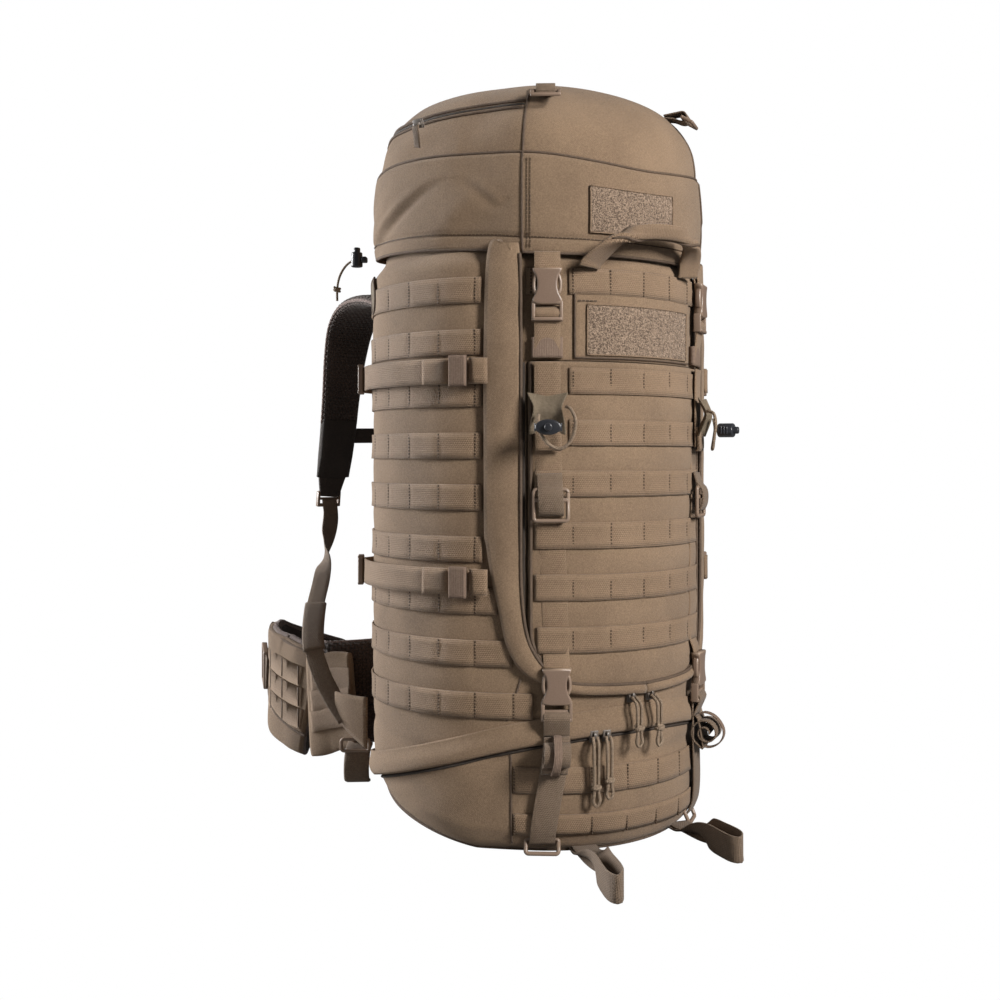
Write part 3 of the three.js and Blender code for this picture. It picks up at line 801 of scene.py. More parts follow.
# ---- Webbing rows ----
# Rows of 25 mm webbing go round the front and sides, 25 mm apart and held by a bar tack every
# 38 mm, so that the webbing lifts a little between the tacks. Pouches hook into them.
WEBBING = finish_of("ribbed_webbing", (0.178, 0.113, 0.066), (0.262, 0.173, 0.106), 0.7,
                    warp=0.0011, weft=0.0019, relief=0.0006, fleck=0.0014, sheen=0.1,
                    contrast=(0.36, 0.64))
THREAD = finish_of("sewing_thread", (0.045, 0.027, 0.015), (0.085, 0.052, 0.030), 0.7)
WEB_WIDE, TACK_PITCH = 0.0254, 0.0381
ROW_LIFT = 0.0017
TACK_STITCHES, STITCH_SIZE = 8, (0.0016, 0.0011, 0.0019, 1)
ROW_STEP = 0.0032


def webbing_rows(name, body, rows):
    """Rows of webbing, given as (ends, height, cloth, tacks, width), and their bar tacks."""
    mesh, tacked = bmesh.new(), []
    for ends, height, cloth, tacks, wide in rows:
        def lift(s, z):
            nearest = min(abs(s - t) for t in tacks)
            return cloth(s, z) + ROW_LIFT + 0.0007 * eased(nearest, 0.0006, 0.006)

        laid(mesh, ends, (height - wide / 2, height + wide / 2), lift,
             (max(2, round(abs(ends[1] - ends[0]) / ROW_STEP)), 4))
        tacked += [(t, height, cloth(t, height) + ROW_LIFT, wide) for t in tacks
                   if min(ends) <= t <= max(ends)]
    outward(mesh)
    finished_sheet(name, mesh, WEBBING, body, 0.0016)
    stitched = bmesh.new()
    for s, z, off, wide in tacked:
        for k in range(TACK_STITCHES):
            rise = wide * ((k + 0.5) / TACK_STITCHES - 0.5)
            bmesh.ops.create_cube(stitched, size=1,
                                  matrix=facing(s, off, z + rise) @ Matrix.Diagonal(STITCH_SIZE))
    made_piece(f"{name}_tacks", stitched, THREAD, body)


FRONT_TACKS = [TACK_PITCH * k for k in range(-3, 4)]
door_rows = [((-reach, reach), height, door_off, FRONT_TACKS, WEB_WIDE) for height, reach in
             ((0.3620, 0.1135), (0.3115, 0.1135), (0.2610, 0.1135), (0.2100, 0.1115))]
for height in (0.4620, 0.4117):
    door_rows += [((-0.080, 0.1135), height, door_off, FRONT_TACKS, WEB_WIDE),
                  ((-0.1125, -0.106), height, door_off, [-0.1100], WEB_WIDE)]
webbing_rows("door_rows", "door", door_rows)
webbing_rows("upper_row", "root", [((-0.080, 0.1135), 0.559, slack, FRONT_TACKS, WEB_WIDE),
                                   ((-0.1215, -0.112), 0.559, slack, [-0.117], WEB_WIDE)])

SIDE_FROM, SIDE_TO, SIDE_TACK = 0.1655, 0.392, 0.1719
side_rows = []
for side, sign in SIDES:
    side_tacks = [sign * (SIDE_TACK + TACK_PITCH * k) for k in range(-1, 6)]
    for height in SIDE_ROWS:
        below = max(0, 0.30 - height)
        start = SIDE_FROM - 0.36 * below * (0.8 if height > 0.16 else 0.9)
        side_rows.append(((sign * start, sign * SIDE_TO), height, bag_off, side_tacks, WEB_WIDE))
webbing_rows("side_rows", "root", side_rows)

# ---- The bottom compartment ----
# Its zip runs most of the way round under a folded flap that dips towards the back. Below it
# the front carries two more webbing rows between two upright seams, and the door's zip pulls
# hang over the flap.
FLAP_LINE = [(0, 0.1325), (0.070, 0.128), (0.135, 0.1165), (0.200, 0.098), (0.280, 0.075),
             (0.354, 0.057), (0.440, 0.047), (HALF_ROUND, 0.045)]


def from_line(line, s):
    s = abs(s)
    for (a, low), (b, high) in zip(line, line[1:]):
        if s <= b:
            t = (s - a) / (b - a)
            return low + (high - low) * t
    return line[-1][1]


def flap_mid(s):
    return sum(from_line(FLAP_LINE, s + step) for step in (-0.03, -0.015, 0, 0.015, 0.03)) / 5


def bottom_flap_off(s, z):
    t = (flap_mid(s) + 0.0125 - z) / 0.025
    round_edge = 0.0018 * eased(t, 0.86, 1.0)
    return turned_under(s, z) + 0.0012 + 0.0042 * eased(t, 0, 0.7) - round_edge + slack(s * 2, z,
                                                                                        0.6)


bottom_flap = bmesh.new()
laid(bottom_flap, (-0.47, 0.47), (lambda s: flap_mid(s) - 0.0125, lambda s: flap_mid(s) + 0.0125),
     bottom_flap_off, (260, 12))
outward(bottom_flap)
finished_sheet("bottom_zip_flap", bottom_flap, CLOTH, "root", 0.0028)


def round_line(ends, height, off, step=0.004):
    count = max(2, round(abs(ends[1] - ends[0]) / step))
    line = [ends[0] + (ends[1] - ends[0]) * k / count for k in range(count + 1)]
    return [on_oval(s, off(s, height(s)), height(s)) for s in line]


# The zip under the flap's loose lower edge: a dark line that is partly the zip and partly the flap's
# painted shadow.
bound_edge("bottom_zip_and_shade_line", round_line((-0.47, 0.47), lambda s: flap_mid(s) - 0.0152, lambda s,
                                         z: bag_off(s, z) + 0.0002), 0.0030, ZIP_TAPE_AND_SHADE, "root")
bottom_tacks = [0.0191 + TACK_PITCH * k for k in range(-4, 4)]
webbing_rows("bottom_rows", "root", [((-0.1345, 0.1345), height, bag_off, bottom_tacks, wide)
                                     for height, wide in ((0.0735, WEB_WIDE), (0.0300, 0.021))])


def seam_line(name, points, thick):
    """A sewn seam of the bag: a fine cord of cloth along (s, z) points."""
    line = smoothed([(s, 0, z) for s, z in points], 0.003)
    bound_edge(name, [on_oval(p.x, bag_off(p.x, p.z), p.z) for p in line], thick, PIPING, "root")


for side, sign in SIDES:
    seam_line(f"bottom_seam_{side}",
              [(sign * 0.1365, 0.010), (sign * 0.1365, 0.055), (sign * 0.137, 0.098)], 0.0026)
    seam_line(f"panel_seam_{side}",
              [(sign * 0.127, 0.172), (sign * 0.134, 0.150), (sign * 0.141, 0.131)], 0.0024)

# ---- The lid ----
# A domed pocket of the same cloth: a deep side band gathered on a cord at its hem, a seam that
# dips at the front, two upright seams, and a crown with a zip over its left shoulder.
LID_HEM = [(0, 0.5845), (0.1140, 0.5855), (0.160, 0.5915), (0.250, 0.5960), (0.354, 0.6010),
           (HALF_ROUND, 0.6130)]
LID_SEAM = [(0, 0.6715), (0.050, 0.6760), (0.1150, 0.6850), (0.160, 0.6870), (0.240, 0.6890),
            (0.300, 0.6890), (0.354, 0.6850), (HALF_ROUND, 0.6880)]
CROWN_STEPS = [(1.0, 0.0), (0.990, 0.14), (0.966, 0.30), (0.922, 0.46), (0.858, 0.61),
               (0.77, 0.745), (0.65, 0.855), (0.51, 0.93), (0.35, 0.975), (0.175, 0.995),
               (0.004, 1.0)]
CROWN_TOP = 0.7810
LID_IN = 0.0105  # the lid is drawn in at its sides
LID_UPRIGHT = 0.125


def eased_line(line, s):
    return sum(from_line(line, s + step) for step in (-0.02, -0.01, 0, 0.01, 0.02)) / 5


def crown_at(t):
    """How far in and how far up the crown has come, t of the way from its seam to its top."""
    place = t * (len(CROWN_STEPS) - 1)
    i = min(int(place), len(CROWN_STEPS) - 2)
    f = place - i
    before, here = CROWN_STEPS[max(0, i - 1)], CROWN_STEPS[i]
    after, last = CROWN_STEPS[i + 1], CROWN_STEPS[min(i + 2, len(CROWN_STEPS) - 1)]
    return [0.5 * (2 * b + (c - a) * f + (2 * a - 5 * b + 4 * c - d) * f * f
                   + (3 * b - a - 3 * c + d) * f ** 3) for a, b, c,
            d in zip(before, here, after, last)]


LID_FOLDS = [((-0.195, 0.684), (-0.330, 0.615), 0.0052, 0.0065),
             ((-0.200, 0.684), (-0.150, 0.640), 0.0040, 0.0055),
             ((0.175, 0.680), (0.300, 0.620), 0.0045, 0.0090),
             ((0.180, 0.680), (0.135, 0.640), 0.0030, 0.0070)]


def lid_creases(s, z):
    """Slanting folds from the seam down to the hem, deepest on the band's sides."""
    side_share = eased(abs(s), 0.12, 0.20)
    fold = noise.noise(Vector((s * 11 - z * 13, z * 5,
                               1.3))) + 0.5 * noise.noise(Vector((s * 24 - z * 22, z * 11, 6.1)))
    depth = (0.0012 + 0.0034 * side_share) * fold
    for (from_s, from_z), (to_s, to_z), deep, wide in LID_FOLDS:
        ahead = Vector((to_s - from_s, to_z - from_z))
        place = Vector((s - from_s, z - from_z))
        t = min(1, max(0, place.dot(ahead) / ahead.length_squared))
        away = place - ahead * t
        across = away.length * (1 if away.y > 0 else -1) / wide
        depth += deep * (1 - 0.7 * t) * (math.exp(-across * across)
                                         - 1.1 * math.exp(-(across + 1.2) ** 2))
    return depth * at_front_and_sides(s)


def lid_in(s):
    return LID_IN * eased(abs(s), 0.11, 0.19)


def band_place(s, t, extra=0.0):
    """A place on the lid's side band: t is 0 at the hem and 1 at the seam."""
    low, high = eased_line(LID_HEM, s), eased_line(LID_SEAM, s)
    z = low + (high - low) * t
    belly = 0.0035 * math.sin(math.pi * t)
    hem_fold = 0.0012 * eased(t, 0.0, 0.02) - 0.0016 * math.exp(-((t - 0.155) / 0.03) ** 2)
    folds = lid_creases(s, z) * math.sin(math.pi * min(1, t * 1.2 + 0.08))
    off = 0.0026 - lid_in(s) + belly + hem_fold + folds - 0.0024 * eased(t, 0.955, 1.0)
    return on_oval(s, off + extra, z)


def crown_place(s, t, extra=0.0):
    """A place on the lid's crown: t is 0 at the seam and 1 at the top."""
    scale, up = crown_at(t)
    scale += 0.020 * math.sin(math.pi * up) * (1 - eased(abs(s), 0.12, 0.24))
    low = eased_line(LID_SEAM, s)
    crease = lid_creases(s, low + 0.06 * up) * math.sin(math.pi * min(1,
                                                                      t * 2.2)) if t < 0.45 else 0
    ease = 0.0018 * math.sin(s * 60) * math.exp(-((t - 0.10) / 0.10) ** 2) * eased(abs(s), 0.15,
                                                                                   0.22)
    centre = Vector((0, 0.026 * (1 - scale), 0))
    sag = 0.0016 * noise.noise(Vector((s * 9 * scale, t * 6, 5.5))) * (1 - 0.7 * t)
    z = low + (CROWN_TOP - low) * up + sag * at_front_and_sides(s) + extra * up * 0.5
    return on_oval(s, 0.0002 - lid_in(s) + extra + crease + ease, z, scale) + centre


def lid_panel(mesh, place, ends, steps):
    """A panel of the lid between two ends, from place(s, t)."""
    def along(u):
        return ends[0] + (ends[1] - ends[0]) * u
    shaped(mesh, lambda u, v: place(along(u), v), steps, lambda u, v: (along(u), v * 0.13))


def facing_from(mesh, middle):
    """Turns every face away from a point inside the piece."""
    mesh.normal_update()
    bmesh.ops.reverse_faces(mesh, faces=[face
                                         for face in mesh.faces
                                         if face.normal.dot(face.calc_center_median()
                                                            - Vector(middle)) < 0])


ROUND = (-HALF_ROUND, HALF_ROUND)
lid_band = bmesh.new()
lid_panel(lid_band, band_place, ROUND, (300, 54))
lid_panel(lid_band, crown_place, ROUND, (300, 60))
joined = [v for v in lid_band.verts
          if abs(v.co.x) < 0.001 and v.co.y > 0.03 or v.co.z > CROWN_TOP - 0.002]
bmesh.ops.remove_doubles(lid_band, verts=joined, dist=0.0006)
facing_from(lid_band, (0, 0.01, 0.64))
finished_sheet("lid_skin", lid_band, CLOTH, "lid", 0.003, ("lid_shell",))

lid_lining = closed_disc(0.6515, 0.90, (120, 10),
                         lambda co, share: 0.0015 * noise.noise(co * 14) * (1 - share))
bmesh.ops.recalc_face_normals(lid_lining, faces=lid_lining.faces)
finished_sheet("lid_lining", lid_lining, LINING, "lid", 0.0012, ("lid_floor",))

round_steps = [HALF_ROUND * (2 * k / 240 - 1) * 0.9995 for k in range(241)]
bound_edge("lid_seam", [band_place(s, 1.0, 0.0007) for s in round_steps], 0.0026, PIPING, "lid")
bound_edge("lid_hem_edge", [band_place(s, 0.004, -0.0004) for s in round_steps], 0.0034, PIPING,
           "lid")
for side, sign in SIDES:
    upright_seam = [band_place(sign * LID_UPRIGHT, k / 24, 0.0006) for k in range(25)]
    upright_seam += [crown_place(sign * (LID_UPRIGHT - 0.004 * k / 22), 0.5 * k / 22, 0.0006)
                     for k in range(1, 23)]
    bound_edge(f"lid_upright_seam_{side}", upright_seam, 0.0024, PIPING, "lid")


STITCH_LONG, STITCH_GAP, STITCH_STEP = 0.0026, 0.0014, 0.001


def stitches(name, places, body, thick=0.0009):
    """A run of lockstitches: short raised threads with a gap between."""
    mesh = bmesh.new()
    fine = smoothed(places, STITCH_STEP)
    pitch = round((STITCH_LONG + STITCH_GAP) / STITCH_STEP)
    for i in range(0, len(fine) - pitch, pitch):
        a, b = fine[i], fine[i + pitch - round(STITCH_GAP / STITCH_STEP)]
        turn = (b - a).to_track_quat("Z", "Y").to_matrix().to_4x4()
        bmesh.ops.create_cube(mesh, size=1, matrix=Matrix.Translation((a + b) / 2) @ turn
                              @ Matrix.Diagonal((thick, thick, (b - a).length, 1)))
    made_piece(name, mesh, THREAD, body, smooth=False)


for side, sign in SIDES:
    for step in (0.0045, 0.0075):
        stitches(f"lid_upright_stitches_{side}_{round(step * 1e4)}",
                 [band_place(sign * (LID_UPRIGHT - step), k / 20, 0.0003) for k in range(1, 20)],
                 "lid")
stitches("lid_hem_stitches", [band_place(s, 0.155, 0.0009) for s in round_steps[1:-1]], "lid")

# The lid's zip: a pair of folded strips round the left shoulder of the crown, closing over it.
ZIP_LIFT = 0.285


def zip_place(s, t, extra):
    return crown_place(s, t + 0.06 * eased(abs(s), 0.3, 0.14), extra)


ZIP_FROM, ZIP_RUN = -0.1245, -0.2715
# The dark line between the two lips is partly the zip and partly painted shade in the gap between them.
for name, t, extra, thick, finish in (("lid_zip_upper_lip", ZIP_LIFT + 0.035, 0.0010, 0.0030,
                                       PIPING),
                                      ("lid_zip_lower_lip", ZIP_LIFT - 0.022, 0.0010, 0.0026,
                                       PIPING),
                                      ("lid_zip_and_shade_line", ZIP_LIFT + 0.008, 0.0000, 0.0028, ZIP_TAPE_AND_SHADE)):
    bound_edge(name, [zip_place(ZIP_FROM + ZIP_RUN * k / 90, t, extra) for k in range(91)],
               thick, finish, "lid")

# ---- Hook-and-loop fields ----
# A patch on the lid's front and a broad name field below the handle, of looped pile that has
# gone rough, each with a bound rim round its edge.
PILE = finish_of("looped_pile", (0.070, 0.046, 0.031), (0.285, 0.205, 0.146), 0.95, relief=0.0014,
                 patch=0.0020, fleck=0.0012, sheen=0.15, contrast=(0.42, 0.60))


def pocket_off(s, z):
    return slack(s, z) + 0.0016


def patch_off(s, z):
    return slack(s, z) + 0.0026


def rough(mesh, depth):
    mesh.normal_update()
    for vert in mesh.verts:
        if not vert.is_boundary:
            vert.co += vert.normal * depth * noise.noise(vert.co * 900)


def patch_rise(s, t):
    """How far up the lid's band a place t of the way up the patch is: the patch leans a little."""
    return 0.225 + 0.49 * t + 0.02 * eased(s, -0.07, 0.03)


def rim_of(place, low, high, steps):
    """Places all round a field between two corners, with steps along and up."""
    (a, c), (b, d), (along_it, up_it) = low, high, steps
    edge = [(a + (b - a) * k / along_it, c) for k in range(along_it + 1)]
    edge += [(b, c + (d - c) * k / up_it) for k in range(1, up_it + 1)]
    edge += [(b - (b - a) * k / along_it, d) for k in range(1, along_it + 1)]
    edge += [(a, d - (d - c) * k / up_it) for k in range(1, up_it + 1)]
    return [place(*corner) for corner in edge]


lid_patch = bmesh.new()
lid_panel(lid_patch, lambda s, t: band_place(s, patch_rise(s, t), 0.0016), (-0.061, 0.0350),
          (100, 44))
facing_from(lid_patch, (0, 0.01, 0.64))
rough(lid_patch, 0.0012)
finished_sheet("lid_patch", lid_patch, PILE, "lid", 0.0014)

name_pocket = bmesh.new()
laid(name_pocket, (-0.0745, 0.0805), (0.4845, 0.5475), pocket_off, (60, 26))
outward(name_pocket)
finished_sheet("name_pocket", name_pocket, CLOTH, "root", 0.0014)
NAME_LOW, NAME_HIGH = (-0.0625, 0.4875), (0.0715, 0.5365)
name_field = bmesh.new()
laid(name_field, (NAME_LOW[0], NAME_HIGH[0]), (NAME_LOW[1], NAME_HIGH[1]), patch_off, (134, 50))
outward(name_field)
rough(name_field, 0.0012)
finished_sheet("name_field", name_field, PILE, "root", 0.0012)
bound_edge("name_field_rim", rim_of(lambda s, z: on_oval(s, patch_off(s, z) + 0.0004, z), NAME_LOW,
                                    NAME_HIGH, (30, 12)), 0.0015, WEBBING, "root")
bound_edge("lid_patch_rim", rim_of(lambda s, t: band_place(s, patch_rise(s, t), 0.0020),
                                   (-0.061, 0), (0.035, 1), (24, 12)), 0.0015, WEBBING, "lid")
bound_edge("name_pocket_edge", [on_oval(-0.0745, 0.0018 + slack(-0.0745, z), z)
                                for z in [0.4845 + 0.063 * k / 20 for k in range(21)]], 0.0018,
           PIPING, "root")
bound_edge("name_pocket_hem", round_line((-0.0745, 0.0805), lambda s: 0.4847, pocket_off), 0.0020,
           PIPING, "root")
stitches("name_pocket_stitches", round_line((-0.0715, -0.0490), lambda s: 0.5400, lambda s,
                                            z: 0.0020 + slack(s, z)), "root", thick=0.0012)

# ---- Side-release buckles ----
# Moulded in two halves for 25 mm webbing. The female half is a smooth domed sleeve with a bar for
# its webbing; the male half has two sprung prongs, a guide and a ladder of bars to pull through.
PLASTIC = finish_of("satin_plastic", (0.135, 0.089, 0.063), (0.178, 0.120, 0.087), 0.36,
                    relief=0.00006, fleck=0.0009, specular=0.5, worn=(0.33, 0.245, 0.18))
DARK_WEBBING = finish_of("strap_webbing", (0.125, 0.083, 0.053), (0.185, 0.128, 0.085), 0.68,
                         warp=0.0011, weft=0.0019, relief=0.0006, sheen=0.1)
ELASTIC = finish_of("elastic", (0.165, 0.11, 0.08), (0.235, 0.163, 0.12), 0.85, warp=0.0016,
                    weft=0.0007, relief=0.0005)


def rounded_block(mesh, size, place, at_place, bevel, segments=3, taper=1.0):
    """A moulded block: size, place in the part's own frame, eased edges, and a taper upwards."""
    made = bmesh.ops.create_cube(mesh, size=1)["verts"]
    for vert in made:
        scale = taper if vert.co.z > 0 else 1
        vert.co = Vector((vert.co.x * size[0] * scale, vert.co.y * size[1],
                          vert.co.z * size[2])) + Vector(place)
    edges = {edge for v in made for edge in v.link_edges}
    result = bmesh.ops.bevel(mesh, geom=list(edges), offset=bevel, segments=segments, profile=0.5,
                             affect="EDGES", material=-1)
    touched = {v for v in result["verts"]} | {v for v in made if v.is_valid}
    bmesh.ops.transform(mesh, matrix=at_place, verts=list(touched))


def bent_bar(mesh, points, wide, thick, at_place, upward=(0, 1, 0)):
    """A flat bar swept along points in the part's own frame."""
    places = [at_place @ Vector(p) for p in smoothed(points, 0.0012)]
    turn = at_place.to_3x3()
    swept(mesh, flat_section(wide, thick, 0.45), places, lambda t: turn @ Vector(upward))


def female_half(mesh, at_place, wide=0.0285, long=0.034):
    """A sleeve with a waist that leaves the prongs' cheeks bare, and a flared, rounded foot."""
    outline = [(0.50, 1.0), (0.47, 0.90), (0.385, 0.78), (0.345, 0.62), (0.345, 0.44), (0.40, 0.28),
               (0.50, 0.12), (0.50, 0.02), (0.25, -0.03)]
    whole = outline + [(-x, z) for x, z in reversed(outline)]
    face = mesh.faces.new([mesh.verts.new((x * wide, -0.0024, z * long)) for x, z in whole])
    pushed = bmesh.ops.extrude_face_region(mesh, geom=[face])["geom"]
    front = [v for v in pushed if isinstance(v, bmesh.types.BMVert)]
    for vert in front:
        vert.co.y -= 0.0086
    rim = {edge for v in front for edge in v.link_edges if all(end in front for end in edge.verts)}
    made = bmesh.ops.bevel(mesh, geom=list(rim), offset=0.0022, segments=4, profile=0.6,
                           affect="EDGES", material=-1)
    touched = {v for v in face.verts} | {v for v in front if v.is_valid} | set(made["verts"])
    bmesh.ops.transform(mesh, matrix=at_place, verts=list(touched))
    for side in (-1, 1):
        bent_bar(mesh, [(side * wide * 0.34, -0.0062, long * 0.84),
                        (side * wide * 0.405, -0.0062, long * 0.76),
                        (side * wide * 0.445, -0.0062, long * 0.60),
                        (side * wide * 0.440, -0.0062, long * 0.42),
                        (side * wide * 0.385, -0.0062, long * 0.28)], 0.0060, 0.0036, at_place)


def male_half(mesh, at_place, wide=0.0285, long=0.0165):
    for side in (-1, 1):
        rounded_block(mesh, (0.0034, 0.0078, long + 0.003),
                      (side * wide * 0.47, -0.0056, 0.001 - long / 2), at_place, 0.0010)
    for drop, deep, tall in ((-0.0004, 0.0074, 0.0030), (0.0072, 0.0050, 0.0026),
                             (long - 0.0014, 0.0096, 0.0034)):
        rounded_block(mesh, (wide * 0.98, deep, tall), (0, -0.0056, -drop), at_place, 0.0012)


def moulded(name, mesh, body, finish=PLASTIC, replaced=()):
    return made_piece(name, mesh, finish, body, replaced)


def strap_s(sign, z):
    """Where the front strap runs: it slants a little outwards on its way up."""
    return sign * (0.0928 + 0.0086 * eased(z, 0.18, 0.46) + 0.0135 * (1 - eased(z, 0.005, 0.115)))


UPPER_JOIN, LOWER_JOIN, STRAP_OFF = 0.536, 0.150, 0.0030


def upright_strap(mesh, sign, points, wide=WEB_WIDE, thick=0.0018):
    """Webbing hanging down the front: points are (stand-off, height)."""
    side = facing(strap_s(sign, points[0][1]), 0, 0).to_3x3() @ Vector((1, 0, 0))
    places = smoothed([on_oval(strap_s(sign, z), out, z) for out, z in points], 0.003)
    swept(mesh, flat_section(wide, thick), places, lambda t: side)


for side, sign in SIDES:
    sleeve = bmesh.new()
    female_half(sleeve, facing(strap_s(sign, UPPER_JOIN), STRAP_OFF, UPPER_JOIN))
    moulded(f"lid_buckle_{side}", sleeve, "lid", replaced=(f"lid_buckle_{side}",))
    lid_strap = bmesh.new()
    upright_strap(lid_strap, sign, [(0.0062, 0.5870), (0.0068, 0.582), (0.0084, 0.5745),
                                    (0.0088, 0.5705), (0.0070, 0.5675)])
    upright_strap(lid_strap, sign, [(0.0040, 0.5862), (0.0044, 0.578), (0.0056, 0.5690)])
    made_piece(f"lid_strap_{side}", lid_strap, WEBBING, "lid")

    ladder = bmesh.new()
    male_half(ladder, facing(strap_s(sign, UPPER_JOIN), STRAP_OFF, UPPER_JOIN))
    moulded(f"upper_buckle_{side}", ladder, "root", replaced=(f"upper_buckle_{side}",))
    upper_strap = bmesh.new()
    upright_strap(upper_strap, sign, [(0.0070, 0.5330), (0.0100, 0.5300), (0.0116, 0.5270),
                                      (0.0100, 0.5235), (0.0064, 0.5200)])
    upright_strap(upper_strap, sign, [(0.0076, 0.5225), (0.0072, 0.5150), (0.0060, 0.505),
                                      (0.0056, 0.495), (0.0052, 0.4838)])
    made_piece(f"upper_strap_{side}", upper_strap, WEBBING, "root")
    keeper = bmesh.new()
    s = strap_s(sign, 0.494)
    laid(keeper, (s - 0.0146, s + 0.0146), (0.4842, 0.5040), 0.0068, (14, 8))
    outward(keeper)
    finished_sheet(f"strap_keeper_{side}", keeper, ELASTIC, "root", 0.0060)

    door_strap = bmesh.new()
    upright_strap(door_strap, sign, [(0.0066, 0.4805), (0.0060, 0.470), (0.0058, 0.44),
                                     (0.0062, 0.405), (0.0060, 0.398)])
    upright_strap(door_strap, sign, [(0.0012, 0.398), (0.0010, 0.3750), (0.0006, 0.3620),
                                     (0.0012, 0.3500), (0.0014, 0.337), (0.0006, 0.3115),
                                     (0.0016, 0.2865), (0.0006, 0.261), (0.0018, 0.2350),
                                     (0.0006, 0.2140), (0.0024, 0.1980), (0.0056, 0.1900),
                                     (0.0074, 0.1810), (0.0076, 0.1770)])
    made_piece(f"door_strap_{side}", door_strap, WEBBING, "door",
               (f"door_strap_{side}",))
    fold = bmesh.new()
    upright_strap(fold, sign, [(0.0072, 0.4190), (0.0092, 0.4100), (0.0096, 0.4000),
                               (0.0088, 0.3945), (0.0070, 0.3950)], thick=0.0026)
    made_piece(f"folded_end_{side}", fold, WEBBING, "door")

    lower = bmesh.new()
    female_half(lower, facing(strap_s(sign, LOWER_JOIN), STRAP_OFF, LOWER_JOIN))
    moulded(f"lower_buckle_{side}", lower, "door", replaced=(f"lower_buckle_{side}",))
    lower_ladder = bmesh.new()
    male_half(lower_ladder, facing(strap_s(sign, LOWER_JOIN), STRAP_OFF, LOWER_JOIN))
    moulded(f"bottom_buckle_{side}", lower_ladder, "root", replaced=(f"bottom_buckle_{side}",))

    bottom = bmesh.new()
    upright_strap(bottom, sign, [(0.0085, 0.1430), (0.0125, 0.1400), (0.0140, 0.1365),
                                 (0.0125, 0.1320), (0.0090, 0.124), (0.0070, 0.1180)])
    upright_strap(bottom, sign, [(0.0060, 0.1400), (0.0058, 0.126), (0.0062, 0.116), (0.0058, 0.09),
                                 (0.0050, 0.05), (0.0030, 0.028), (-0.0010, 0.0160),
                                 (-0.0040, 0.0105)])
    turns = [(0.0190 + (0.0040 + 0.0011 * a) * math.cos(a),
              0.1010 + (0.0040 + 0.0011 * a) * math.sin(a)) for a in [k * 0.3 for k in range(37)]]
    upright_strap(bottom, sign, turns + [(0.0120, 0.1130), (0.0090, 0.1180)], thick=0.0017)
    made_piece(f"bottom_strap_{side}", bottom, DARK_WEBBING, "root",
               (f"bottom_strap_{side}",))
    roll_keeper = bmesh.new()
    upright_strap(roll_keeper, sign, [(0.0055, 0.1140), (0.0150, 0.1205), (0.0265, 0.1175),
                                      (0.0345, 0.1080), (0.0358, 0.0980), (0.0300, 0.0885),
                                      (0.0200, 0.0838), (0.0110, 0.0860), (0.0055, 0.0900)],
                  wide=0.0075, thick=0.0014)
    made_piece(f"roll_keeper_{side}", roll_keeper, ELASTIC, "root")


RING_HEIGHT = 0.3415


def looped_wire(mesh, wide, tall, thick, at_place, corner=0.003):
    """A rectangular ring of round wire in the part's own X-Z plane."""
    half_w, half_t = wide / 2 - corner, tall / 2 - corner
    line = []
    for hub_x, hub_z, start in ((half_w, half_t, 0), (-half_w, half_t, 90), (-half_w, -half_t, 180),
                                (half_w, -half_t, 270)):
        line += [(hub_x + corner * math.cos(math.radians(start + 15 * k)), 0,
                  hub_z + corner * math.sin(math.radians(start + 15 * k))) for k in range(7)]
    line.append(line[0])
    places = [at_place @ Vector(p) for p in line]
    turn = at_place.to_3x3()
    swept(mesh, round_section(thick / 2, 8), places, lambda t: turn @ Vector((0, 1, 0)))


for side, sign in SIDES:
    ring = bmesh.new()
    seat = facing(strap_s(sign, RING_HEIGHT), 0.0100, RING_HEIGHT)
    looped_wire(ring, 0.0330, 0.0300, 0.0040, seat)
    rounded_block(ring, (0.0330, 0.0046, 0.0040), (0, 0, 0.0050), seat, 0.0012)
    moulded(f"front_ring_{side}", ring, "door")
    ring_loop = bmesh.new()
    upright_strap(ring_loop, sign, [(0.0050, 0.3720), (0.0085, 0.3610), (0.0135, 0.3550),
                                    (0.0150, 0.3470), (0.0140, 0.3380), (0.0105, 0.3320),
                                    (0.0070, 0.3340)], wide=0.0245, thick=0.0022)
    made_piece(f"front_ring_loop_{side}", ring_loop, DARK_WEBBING, "door")
    foot_ring = bmesh.new()
    tipped = Matrix.Rotation(math.radians(-24), 4, "X")
    looped_wire(foot_ring, 0.0320, 0.0140, 0.0042,
                facing(strap_s(sign, 0), -0.0035, 0.0085) @ tipped)
    moulded(f"foot_ring_{side}", foot_ring, "root")

# ---- Pole holders ----
# On each front strap a pointed flap folds over a short elastic cord, which a sprung cord lock
# draws tight round a pole or a barrel. The lock's button slides in to free the cord.
BLACK = finish_of("black_plastic", (0.008, 0.009, 0.012), (0.016, 0.017, 0.021), 0.33,
                  relief=0.00005, fleck=0.0009, specular=0.55, worn=(0.06, 0.06, 0.07))


def eased_rims(mesh, axis, offset):
    """Rounds the rims of a barrel that lies along an axis."""
    rims = [e for e in mesh.edges if abs(e.verts[0].co[axis] - e.verts[1].co[axis]) < 1e-6]
    bmesh.ops.bevel(mesh, geom=rims, offset=offset, segments=3, profile=0.5, affect="EDGES",
                    material=-1)


